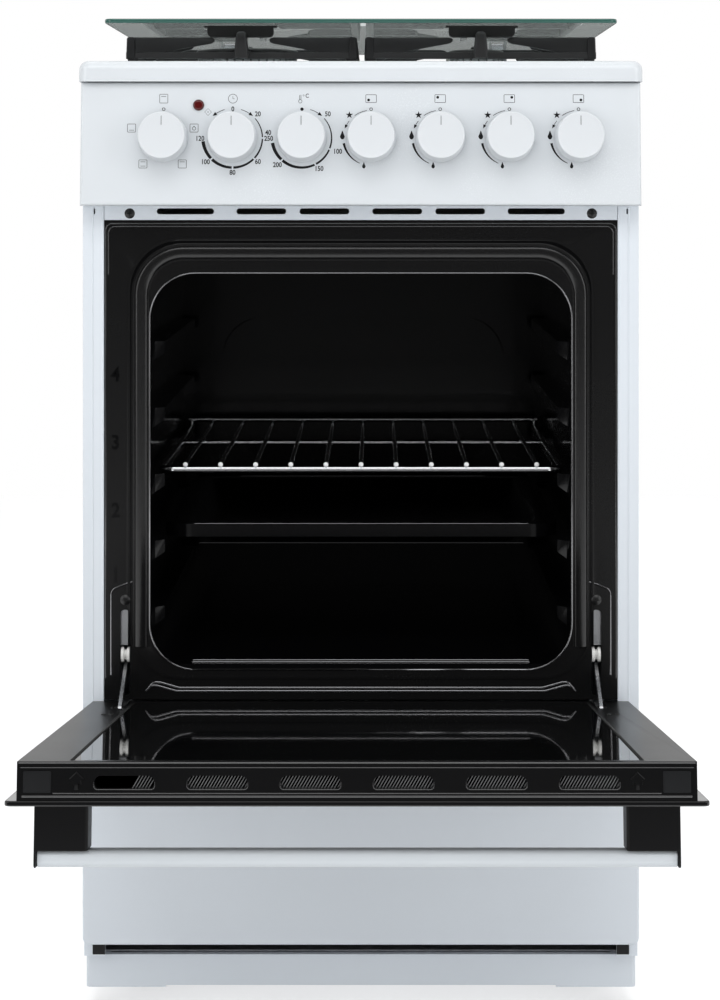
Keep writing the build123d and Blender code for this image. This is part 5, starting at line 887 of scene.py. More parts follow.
@dataclass
class Panel:
    """The leaning control panel: its knobs and its print. Sizes are in millimetres, angles in degrees.

    Attributes:
        lean: lean of the panel.
        first_x: X of the first dial.
        pitch: distance between dials.
        dial_z: height of the dials.
        face_y: Y of the panel's face at the dials' height.
        knob_gap: distance of a knob from the panel.
        knob_top: distance of its face from the panel.
        bore_r: radius of its bore.
        bore_top: the bore's end.
        skirt_r: radius of its skirt.
        face_r: radius of its face.
        rim: rounding of the face's rim.
        ring_r: radius of the scales.
        gas_ring_r: radius of the gas dials' arcs.
        mark_r: radius at which the marks over the knobs stand.
        tick_gap: half the gap at a scale's tick.
        icon_v: height of the pictograms over the dials.
        mode_icons: places of the four oven modes round the first dial.
        mode_bars: lines in the pictograms of the modes: place and height in the pictogram.
        lamp_at: the lamp's place from the first dial.
        line: width of the marks' outlines.
        arc_line: width of thin arcs.
        thin: width of the pictograms' lines.
        head: length of an arrow's head.
        figure: height of the figures.
    """

    lean: float = 5.0
    first_x: float = -174.4
    pitch: float = 61.2
    dial_z: float = 781.6
    face_y: float = -308.75
    knob_gap: float = 3.8
    knob_top: float = 25.0
    bore_r: float = 3.95
    bore_top: float = 17.3
    skirt_r: float = 21.8
    face_r: float = 20.8
    rim: float = 0.9
    ring_r: float = 26.3
    gas_ring_r: float = 24.6
    mark_r: float = 25.6
    tick_gap: float = 1.6
    icon_v: float = 35.0
    mode_icons: tuple[Spot, ...] = ((-28.3, 8.8), (27.0, 8.8), (-18.0, -23.1), (16.8, -23.1))
    mode_bars: tuple[Point, ...] = ((-18.0, -23.1, -1.9), (-18.0, -23.1, 1.9), (16.8, -23.1, 1.9), (-28.3, 8.8, -1.9))
    lamp_at: Spot = (39.3, 23.1)
    line: float = 0.55
    arc_line: float = 0.5
    thin: float = 0.45
    head: float = 3.9
    figure: float = 4.3

    def dial(self, number: int) -> Place:
        """The place of a dial, its middle on the panel's face."""
        lean = math.radians(self.lean)
        middle = mm(self.first_x + self.pitch * number, self.face_y, self.dial_z)
        return Place(tuple(middle), (1, 0, 0), (0, math.sin(lean), math.cos(lean)))

    def spot(self, number: int, u: float = 0.0, v: float = 0.0) -> Array:
        """A place on the panel from a dial's middle, on the first dial's plane in metres."""
        return mm(self.pitch * number + u, v)

    def build(self) -> list[Piece]:
        """Makes the knobs and the print."""
        pieces = []
        for number, (node, body) in enumerate(KNOBS):
            knob, line = self.knob(number, f"{node}_cap"), self.knob_line(number, f"{node}_line")
            pieces += settle([knob], Finishes.WHITE_KNOB, body, "white_knob", node)
            pieces += settle([line], Finishes.GREY_PRINT, body, "white_knob")
        pieces += settle([self.dark_print()], Finishes.PRINT, "root", "white_enamel")
        return pieces + settle([self.grey_icons()], Finishes.GREY_PRINT, "root", "white_enamel")

    def knob(self, number: int, name: str) -> Piece:
        """A knob turned about its dial's axis.

        The profile runs from the bore's bottom up the boss, over the hollow inside, down the wall, round the
        skirt's edge, up the slightly tapered side, over a rounded rim and in across the dished face.

        Args:
            number: the dial.
            name: the piece's name.

        Returns:
            The knob.
        """
        gap, top, skirt, face = self.knob_gap, self.knob_top, self.skirt_r, self.face_r
        rim = [(face - self.rim * (1 - math.cos(a)) - 0.15, top - self.rim + self.rim * math.sin(a))
               for a in np.linspace(0.0, math.pi / 2, 6)]
        outline = np.array([
            (0.02, self.bore_top), (self.bore_r, self.bore_top), (self.bore_r, gap), (6.5, gap), (6.5, top - 2.7),
            (face - 2.0, top - 2.7), (face - 2.0, gap), (skirt - 0.5, gap), (skirt - 0.1, gap + 0.2),
            (skirt, gap + 0.6), (skirt - 0.15, gap + 2.2), (skirt - 0.55, gap + 2.9), (face + 0.6, gap + 3.2),
            (face + 0.25, gap + 3.9), *rim, (face - 1.9, top - 0.12), (face - 4.0, top - 0.42),
            (face * 0.5, top - 0.6), (0.02, top - 0.65),
        ]) * MM
        turn = ring_path(1.0, 72)
        flat = outline[:, None, :1] * turn[None, :, :]
        height = np.repeat(outline[:, 1:], len(turn), 1)
        return Shell().loft(self.dial(number).at(flat, height)).solid(name, 32)

    def knob_line(self, number: int, name: str) -> Piece:
        """The fine indicator line near the top of a knob's face."""
        ink = Ink(self.dial(number), (self.knob_top - 0.38) * MM, (0.75 - self.knob_top) * MM)
        return ink.line(mm(0, 0), ((0, 9), (0, 13), (0, 17)), self.arc_line * MM).piece(name)

    def dark_print(self) -> Piece:
        """Scales, arrows and figures round the dials."""
        ink = Ink(self.dial(0))
        for number in range(len(KNOBS)):
            mark = self.spot(number, 0, self.mark_r)
            if number == 2:
                ink.solid(mark + ring_path(1.5 * MM, 16))
            elif number != 1:
                ink.stroke(mark + ring_path(1.25 * MM, 16), self.line * MM, closed=True)
        self.scale(ink, 1, (47.0, 90.0, 134.0, 180.0, 225.0, 265.0), (1, -1), {
            "0": (0, 25.6), "20": (22.2, 21.2), "40": (31.4, 4.6), "60": (22.4, -21.2), "80": (0, -30.8),
            "100": (-24.0, -21.4), "120": (-29.0, -0.6)})
        self.scale(ink, 2, (47.0, 112.0, 153.0, 222.0, 262.0), (1,), {
            "50": (22.9, 21.2), "100": (31.6, -12.1), "150": (15.2, -27.4), "200": (-21.6, -24.0),
            "250": (-29.4, -0.6)})
        for order in range(4):
            self.gas_dial(ink, order)
        return ink.piece("dial_print")

    def scale(self, ink: Ink, number: int, ticks: Sequence[float], ways: Sequence[int],
              figures: dict[str, Spot]) -> None:
        """A scale that thickens clockwise, with a gap at each tick, its arrows and its figures.

        Args:
            ink: print to add to.
            number: the dial.
            ticks: clock angles of its ends and gaps.
            ways: 1 for an arrow clockwise from the top, -1 for one the other way.
            figures: each figure's place from the dial's middle.
        """
        centre, radius, span = self.spot(number), self.ring_r * MM, ticks[-1] - ticks[0]
        for first, last in zip(ticks[:-1], ticks[1:]):
            start, end = [(0.75 + 2.3 * (angle - ticks[0]) / span) * MM for angle in (first, last)]
            ink.arc(centre, radius, first + self.tick_gap, last - self.tick_gap, (start, end))
        for way in ways:
            ink.arrow(centre, radius, 16.0 * way, 34.0 * way, self.arc_line * MM, self.head * MM)
        for text, (u, v) in figures.items():
            ink.words(text, self.spot(number, u, v), self.figure * MM)

    def gas_dial(self, ink: Ink, order: int) -> None:
        """Spark star, flames, arcs and the burner's pictogram of one gas dial."""
        number, ring, line = order + 3, self.gas_ring_r * MM, self.arc_line * MM
        centre = self.spot(number)
        ink.arc(centre, ring, -9.0, -36.0, (line, line))
        ink.solid(self.spot(number, -19.2, 20.4) + self.star(1.35, 3.4, 5))
        ink.arrow(centre, ring, -52.0, -62.0, line, 3.5 * MM)
        ink.solid(self.spot(number, -25.4, 1.6) + self.flame(2.9))
        ink.arc(centre, ring, -101.0, -156.0, (2.1 * MM, line))
        ink.solid(self.spot(number, -6.4, -25.0) + self.flame(2.1))
        middle = self.spot(number, 0, self.icon_v)
        ink.box(middle, 4.7, 3.5, 0.4 * MM)
        side, level = ((-1, -1), (-1, 1), (1, 1), (1, -1))[order]
        ink.solid(middle + mm(2.2 * side, 1.2 * level) + ring_path(1.25 * MM, 14))

    @staticmethod
    def star(inner: float, outer: float, points: int) -> Array:
        """Star outline: the radius alternates between two values."""
        angle = np.linspace(0, 2 * np.pi, 2 * points, endpoint=False) + np.pi / 2
        radius = np.where(np.arange(2 * points) % 2 == 0, outer, inner) * MM
        return np.stack([np.cos(angle), np.sin(angle)], -1) * radius[:, None]

    @staticmethod
    def flame(size: float) -> Array:
        """Drop outline: a circle whose upper half narrows to a point."""
        angle = np.linspace(0, 2 * np.pi, 20, endpoint=False)
        upper = np.clip(np.sin(angle), 0, 1)
        across, tall = np.cos(angle) * (1 - 0.55 * upper), np.sin(angle) * (1 + 0.7 * upper**2)
        return np.stack([across * 0.72, tall], -1) * size * MM

    def grey_icons(self) -> Piece:
        """Lighter pictograms: the oven modes, the clock, the thermometer and the lamp's diamond."""
        ink, thin = Ink(self.dial(0)), self.thin * MM
        for u, v in self.mode_icons:
            ink.box(mm(u, v), 3.6, 3.6, thin)
        bulb = mm(27.0, 8.4)
        ink.stroke(bulb + ring_path(1.5 * MM, 14), thin, closed=True)
        ink.line(bulb, ((-0.6, 1.9), (0.6, 1.9)), thin)
        for u, v, level in self.mode_bars:
            ink.line(mm(u, v), ((-2.2, level), (2.2, level)), thin)
        oven, clock, heat = [self.spot(number, 0, self.icon_v) for number in range(3)]
        ink.box(oven, 3.6, 3.9, thin)
        ink.line(oven, ((-2.2, 1.9), (2.2, 1.9)), thin)
        ink.stroke(clock + ring_path(4.0 * MM, 32), thin, closed=True)
        ink.line(clock, ((0.0, 2.2), (0.0, 0.0), (1.6, -0.2)), thin)
        ink.stroke(heat + mm(-1.5, -2.4) + ring_path(1.5 * MM, 16), thin, closed=True)
        ink.line(heat, ((-2.1, -1.1), (-2.1, 3.2), (-0.9, 3.2), (-0.9, -1.1)), thin)
        ink.stroke(heat + mm(1.4, 2.9) + ring_path(0.6 * MM, 12), 0.3 * MM, closed=True)
        diamond = np.array([[0, 3.1], [3.1, 0], [0, -3.1], [-3.1, 0]]) * MM
        ink.stroke(mm(*self.lamp_at) + diamond, 0.35 * MM, closed=True)
        ink.words("C", heat + mm(4.6, 2.4), 3.6 * MM)
        ink.solid(mm(*self.lamp_at) + ring_path(0.5 * MM, 10))
        return ink.piece("panel_icons")


@dataclass
class Lid:
    """The glass lid, its edge and its hinge arms. Sizes are in millimetres.

    Attributes:
        half: half its width.
        front_y: its front edge.
        back_y: its rear edge.
        low_z: its underside, closed.
        thick: the glass's thickness.
        corner: corner radius.
        band: depth of the polished edge band.
        inside: how far the pane's faces stay inside the band's.
    """

    half: float = 230.0
    front_y: float = -283.0
    back_y: float = 237.0
    low_z: float = 885.0
    thick: float = 4.0
    corner: float = 8.0
    band: float = 0.9
    inside: float = 0.05

    def build(self) -> list[Piece]:
        """Makes the pane and its green edge, and rounds the arms."""
        return [*settle([self.pane()], Finishes.LID_GLASS, "lid", "lid_glass", "glass_lid"),
                *settle([self.edge()], Finishes.LID_EDGE, "lid", "lid_glass"),
                *formed("lid_hinge_arms", 0.6, Finishes.STAMPED, "lid", "link_steel")]

    def ring(self, inset: float, height: float) -> Array:
        """The lid's outline drawn in by an inset, at a height over its underside."""
        flat = round_rect(self.half - inset, (self.back_y - self.front_y) / 2 - inset,
                          max(self.corner - inset, 1.0), 10)
        return raised(flat + [0.0, (self.back_y + self.front_y) / 2], self.low_z + height) * MM

    def pane(self) -> Piece:
        """The clear pane inside the edge band: two faces joined by a wall."""
        rows = [self.ring(self.band, height) for height in (self.inside, self.thick - self.inside)]
        return Shell().loft(rows).solid("lid_pane", 35)

    def edge(self) -> Piece:
        """The ground edge: a half-round band, its bulge the sine of an angle and its height the cosine."""
        rows = [self.ring(self.band * (1 - math.sin(a)), self.thick * (1 - math.cos(a)) / 2)
                for a in np.linspace(0, np.pi, 9)]
        return Shell().grid(np.array(rows), close_rows=True, close_columns=True).solid("lid_edge")


@dataclass
class Hob:
    """Cast pan supports and the lid's hinge seats. Sizes are in millimetres, those of the right support.

    Attributes:
        burner_x: X of the burners.
        burners_y: Y of the front and rear burners.
        ring_gap: distance of the fingers from a burner's middle, seen along the rails.
        arm_gap: distance of the longer fingers from a burner's middle.
        inner: X of the support's inner side.
        outer: X of its outer side.
        front: Y of its front bar's front.
        back: Y of its rear side.
        low_z: underside of the bars.
        rail_z: top of the low rails.
        top_z: where pans stand.
        post_y: Y of the front post's front.
        post_rows: the post's height, half width, lean of its front and its rear's distance from the front bar.
        bar: width of a bar.
        finger: width of a finger.
        leg_r: distance of a leg's middle from the support's sides.
        leg_rows: height and radius of a leg.
    """

    burner_x: float = 108.5
    burners_y: Spot = (-152.0, 68.0)
    ring_gap: float = 25.0
    arm_gap: float = 51.0
    inner: float = 3.0
    outer: float = 214.0
    front: float = -248.0
    back: float = 175.0
    low_z: float = 855.0
    rail_z: float = 861.0
    top_z: float = 874.6
    post_y: float = -262.0
    post_rows: tuple[tuple[float, ...], ...] = (
        (855.0, 6.6, 0.0, 4.0), (861.0, 6.3, 0.6, 3.0), (873.6, 5.0, 1.6, 1.5), (876.8, 4.5, 2.0, 0.0),
        (878.1, 3.8, 2.6, -1.0), (879.0, 2.2, 3.6, -2.5))
    bar: float = 9.0
    finger: float = 5.0
    leg_r: float = 6.0
    leg_rows: tuple[Spot, ...] = ((842.0, 3.6), (843.2, 4.4), (855.0, 5.0), (863.0, 4.4))

    def build(self) -> list[Piece]:
        """Makes both supports and rounds the hinge seats' edges."""
        pieces = []
        for side, name in reversed(SIDES):
            pieces += settle([self.support(side, f"pan_grate_{name}")], Finishes.CAST, "root", "cast_iron",
                             f"pan_support_{name}")
        return pieces + formed("lid_hinge_seats", 0.5, Finishes.ZINC, "root", "zinc_steel")

    def support(self, side: int, name: str) -> Piece:
        """One cast support: two side bars, three cross rails, fingers, arms, the front post and legs.

        Args:
            side: 1 for the right, -1 for the left.
            name: the piece's name.

        Returns:
            The support.
        """
        shell, half = Shell(), self.bar / 2
        near, far = self.front + half, self.back - half
        middle = sum(self.burners_y) / 2
        inner, outer = self.inner + half, self.outer - half
        for x in (inner, outer):
            self.bar_between(shell, (x, self.front), (x, self.back), self.top_z, 1.6)
        for y in (near, middle, far):
            self.bar_between(shell, (self.inner, y), (self.outer, y), self.rail_z, 1.2)
        crossings = [(y, self.ring_gap) for y in (near, middle, far)] + [(y, self.arm_gap) for y in self.burners_y]
        for y, gap in crossings:
            self.finger_to(shell, (inner, y), (self.burner_x - gap, y))
            self.finger_to(shell, (outer, y), (self.burner_x + gap, y))
        for y, before, behind in ((self.burners_y[0], near, middle), (self.burners_y[1], middle, far)):
            self.finger_to(shell, (self.burner_x, before), (self.burner_x, y - self.arm_gap))
            self.finger_to(shell, (self.burner_x, behind), (self.burner_x, y + self.arm_gap))
        self.post(shell)
        for x in (self.inner + self.leg_r, self.outer - self.leg_r):
            for y in (self.front + self.leg_r, self.back - self.leg_r):
                turn = ring_path(1.0, 16)
                shell.loft([raised(turn * radius + [x, y], z) * MM for z, radius in self.leg_rows])
        shell.points = [points * [side, 1, 1] for points in shell.points]
        return shell.solid(name, 38)

    def bar_between(self, shell: Shell, start: Spot, end: Spot, top: float, edge: float) -> None:
        """A straight cast bar with a rounded top, its ends slightly drawn in.

        Args:
            shell: mesh to add to.
            start: X and Y of one end.
            end: X and Y of the other end.
            top: its top.
            edge: radius of its upper edges.
        """
        share = np.array([0.0, 0.004, 0.5, 0.996, 1.0])
        half = self.bar / 2 * np.array([0.8, 1.0, 1.0, 1.0, 0.8])
        self.cast(shell, start, end, share, np.full(5, self.low_z), np.full(5, top), half, edge)

    def finger_to(self, shell: Shell, start: Spot, end: Spot) -> None:
        """A finger that is deep at its root, thins towards the pan and ends rounded.

        Its underside rises from the bars' depth to its tip, and the last steps draw in on a quarter circle.

        Args:
            shell: mesh to add to.
            start: X and Y of the root.
            end: X and Y of the tip.
        """
        share = np.concatenate([np.linspace(0, 0.93, 9), [0.955, 0.975, 0.99, 1.0]])
        low = self.low_z + (self.top_z - 5.2 - self.low_z) * np.clip((share - 0.1) / 0.9, 0, 1) ** 0.8
        draw = np.ones(len(share))
        draw[-4:] = (0.94, 0.8, 0.58, 0.2)
        width = (self.finger / 2) * draw * (1 + 0.55 * np.clip(1 - share / 0.22, 0, 1) ** 2)
        shrink = (1 - draw) * 2.2
        self.cast(shell, start, end, share, low + shrink, self.top_z - shrink, width, 1.2)

    @staticmethod
    def cast(shell: Shell, start: Spot, end: Spot, share: Array, low: Array, high: Array,
             half: Array, edge: float) -> None:
        """Carries a trapezium with round upper corners along a straight line.

        Args:
            shell: mesh to add to.
            start: X and Y of one end.
            end: X and Y of the other end.
            share: shares of the way where rows stand.
            low: underside at each row.
            high: top at each row.
            half: half the width at each row.
            edge: radius of the upper edges.
        """
        begin, finish = np.array(start, float), np.array(end, float)
        ahead = (finish - begin) / np.linalg.norm(finish - begin)
        across = np.array([-ahead[1], ahead[0]])
        bend = np.linspace(0, np.pi / 2, 4)
        rows = []
        for part, z0, z1, wide in zip(share, low, high, half):
            top = wide * 0.86
            r = min(edge, top * 0.9, (z1 - z0) * 0.4)
            right = np.column_stack([top - r + r * np.cos(bend), z1 - r + r * np.sin(bend)])
            section = np.concatenate([[[-wide, z0], [wide, z0]], right, right[::-1] * [-1, 1]])
            flat = begin + (finish - begin) * part + section[:, :1] * across[None, :]
            rows.append(np.column_stack([flat, section[:, 1]]) * MM)
        shell.loft(rows)

    def post(self, shell: Shell) -> None:
        """The post ahead of the front bar, leaning back and narrowing to a rounded top."""
        rows = []
        for z, wide, lean, rear in self.post_rows:
            depth = (self.front + rear - (self.post_y + lean)) / 2
            flat = round_rect(wide, depth, min(2.2, wide * 0.7, depth * 0.7), 4)
            rows.append(raised(flat + [self.burner_x, self.post_y + lean + depth], z) * MM)
        shell.loft(rows)


@dataclass(frozen=True)
class Swing:
    """Carries points of the closed door to the open door, in which it rests.

    Attributes:
        angle: how far the door is open, in degrees.
        pivot_y: Y of the hinge axis in millimetres.
        pivot_z: Z of the hinge axis.
    """

    angle: float = 82.95
    pivot_y: float = -301.7
    pivot_z: float = 271.6

    def opened(self, points: Sequence) -> Array:
        """Turns points given in millimetres about the hinge axis, the door's top coming forward.

        Args:
            points: points on the closed door, in millimetres.

        Returns:
            Array of the same shape in metres.
        """
        points, turn = np.asarray(points, float), math.radians(self.angle)
        y, z = points[..., 1] - self.pivot_y, points[..., 2] - self.pivot_z
        forward = self.pivot_y + y * math.cos(turn) - z * math.sin(turn)
        level = self.pivot_z + z * math.cos(turn) + y * math.sin(turn)
        return np.stack([points[..., 0], forward, level], -1) * MM


@dataclass
class Door:
    """The oven door: its formed frame, panes, corner caps, vents, beads and handle. Sizes are in millimetres.

    Attributes:
        top_z: the frame's top edge, closed.
        back_y: the frame's inner side.
        cap: X of a corner cap's two sides.
        cap_y: Y of its two other sides.
        cap_rim: how far a cap's raised middle stays inside it.
        bead_rows: half length, Y and radius of each bead along the top edge.
        arrow: outline of the arrow beside a cap.
        arrow_at: the right-hand arrow's place.
        vents: number of vents in the top edge.
        vent_pitch: distance between them.
        vent_y: Y of their lower sides.
        vent_half: half the length of a vent's bead.
        plate_from: X where the ribs begin.
        rib_pitch: distance between the ribs in a vent.
        rib_reach: how far they go left and right of its middle.
        rib_z: depths of their lower and upper sides under the top edge.
        joint: X of the inner pane's joint's two sides.
        joint_z: Z of its two ends, closed.
        stud_x: X of the right-hand rivets.
        stud_z: their height, closed.
        stud_rows: height and radius of a rivet.
        swing: the way to the open door.
    """

    top_z: float = 718.0
    back_y: float = -292.0
    cap: Spot = (214.3, 233.8)
    cap_y: Spot = (-313.5, -298.6)
    cap_rim: float = 1.1
    bead_rows: tuple[Point, ...] = ((213.0, -313.9, 0.45), (234.5, -316.0, 0.85), (236.0, -296.2, 0.35),
                                    (237.2, -293.0, 0.6))
    arrow: tuple[Spot, ...] = ((0, 7), (5.2, 1.4), (3.4, 0.2), (3.6, -3.0), (1.4, -2.6), (1.4, -7), (-1.4, -7),
                               (-1.4, -2.6), (-3.6, -3.0), (-3.4, 0.2), (-5.2, 1.4))
    arrow_at: Spot = (196.5, -305.2)
    vents: int = 6
    vent_pitch: float = 65.2
    vent_y: float = -310.9
    vent_half: float = 21.3
    plate_from: float = -158.0
    rib_pitch: float = 2.25
    rib_reach: Spot = (-24.5, 18.5)
    rib_z: Spot = (3.6, 2.4)
    joint: Spot = (199.2, 201.8)
    joint_z: Spot = (275.0, 711.0)
    stud_x: Spot = (208.6, 215.2)
    stud_z: float = 386.6
    stud_rows: tuple[Spot, ...] = ((-0.3, 2.3), (0.25, 2.3), (0.5, 1.9), (0.5, 1.0), (0.2, 0.8))
    swing: Swing = Swing()

    def build(self) -> list[Piece]:
        """Makes everything that rides on the door, and the links."""
        black = ("door", "door_black")
        return [
            *formed("door_frame", 0.9, Finishes.DOOR_BLACK, *black, 3),
            *formed("door_outer_glass", 1.2, Finishes.OUTER_GLASS, "door", "black_glass", 3, name="door_outer_pane"),
            *formed("door_inner_glass", 0.5, Finishes.INNER_GLASS, "door", "inner_glass", name="door_inner_pane"),
            *formed("handle_bar", 0.8, Finishes.HANDLE, "door", "handle_aluminium", 3, 30.0),
            *formed("handle_brackets", 0.9, Finishes.BLACK_PLASTIC, "door", "black_plastic", 3),
            *settle(self.caps(), Finishes.CAP_PLASTIC, "door", "black_plastic"),
            *settle([self.beads(), self.vent_rims()], Finishes.BEAD, *black),
            *settle([*self.joints(), self.studs()], Finishes.BUFFER, *black),
            *settle(self.arrows(), Finishes.DOOR_BLACK, *black),
            *settle([self.vent_plates()], Finishes.VENT_PLATE, *black),
            *formed("door_links", 0.5, Finishes.STAMPED, "links", "link_steel"),
        ]

    def caps(self) -> list[Piece]:
        """The plastic cap at each end of the top edge: a shallow pad with a rounded rim."""
        pieces = []
        half_w, half_d = (self.cap[1] - self.cap[0]) / 2, (self.cap_y[1] - self.cap_y[0]) / 2
        for side, name in SIDES:
            centre = (side * sum(self.cap) / 2, sum(self.cap_y) / 2)
            pad = loaf(half_w, half_d, 1.2, (self.top_z - 0.6, self.top_z + 0.5), 0.45, centre)
            rim = loaf(half_w - self.cap_rim, half_d - self.cap_rim, 0.8, (self.top_z + 0.3, self.top_z + 0.7), 0.2,
                       centre)
            shell = Shell().loft(self.swing.opened(pad)).loft(self.swing.opened(rim))
            pieces.append(shell.solid(f"corner_cap_{name}", 50))
        return pieces

    def beads(self) -> Piece:
        """Two raised beads along the top edge's lower side, and two along its upper side."""
        return bars("door_edge_beads", [(self.swing.opened(bead_path(reach, y, self.top_z)), radius)
                                        for reach, y, radius in self.bead_rows])

    def arrows(self) -> list[Piece]:
        """The embossed arrow beside each cap: a head over a shaft, drawn as one outline."""
        pieces, flat = [], np.array(self.arrow, float)
        for side, name in SIDES:
            middle = [side * self.arrow_at[0], self.arrow_at[1]]
            rows = [raised(flat * share * [1, 0.9] + middle, self.top_z + height)
                    for height, share in ((-0.3, 1.0), (0.5, 1.0), (0.9, 0.86))]
            pieces.append(Shell().loft(self.swing.opened(rows)).solid(f"edge_arrow_{name}", 30))
        return pieces

    def vent_middles(self) -> list[float]:
        """X of the vents' middles, from the left."""
        return [(number - (self.vents - 1) / 2) * self.vent_pitch for number in range(self.vents)]

    def vent_plates(self) -> Piece:
        """The slanted ribs inside each vent, from its lower wall to its upper one."""
        shell, low, high = Shell(), self.vent_y - 0.1, self.vent_y + 9.2
        for middle in self.vent_middles():
            left, right = middle + self.rib_reach[0], middle + self.rib_reach[1]
            for x in np.arange(max(left, self.plate_from), right, self.rib_pitch):
                foot = [(x, low), (x + 0.75, low), (x + 6.25, high), (x + 5.5, high)]
                shell.loft(self.swing.opened([raised(foot, self.top_z - depth) for depth in self.rib_z]))
        return shell.solid("door_vent_ribs", smooth=False)

    def vent_rims(self) -> Piece:
        """A fine bead round the lower half of each vent."""
        half = self.vent_half
        foot = ((-half, 5.0), (-half, -0.3), (half, -0.3), (half, 5.0))
        paths = [rounded_path([(middle + u, self.vent_y + v, self.top_z) for u, v in foot], 4.6)
                 for middle in self.vent_middles()]
        return bars("door_vent_rims", [(self.swing.opened(path / MM), 0.4) for path in paths], 8)

    def joints(self) -> list[Piece]:
        """The dark joint at each side of the inner pane, 0.3 mm proud."""
        pieces, (low, high) = [], self.joint_z
        for side, name in SIDES:
            near, far = side * self.joint[0], side * self.joint[1]
            flat = np.array([(near, low), (far, low), (far, high), (near, high)])
            rows = [upright(flat, self.back_y + depth) for depth in (-0.5, 0.3)]
            pieces.append(Shell().loft(self.swing.opened(rows)).solid(f"pane_joint_{name}"))
        return pieces

    def studs(self) -> Piece:
        """The two dark rivets over each hinge, on the frame's inner side."""
        shell, (near, far) = Shell(), self.stud_x
        for x in (-far, -near, near, far):
            rows = [upright(ring_path(radius, 16) * [1, 2] + [x, self.stud_z], self.back_y + depth)
                    for depth, radius in self.stud_rows]
            shell.loft(self.swing.opened(rows))
        return shell.solid("door_studs", 40)


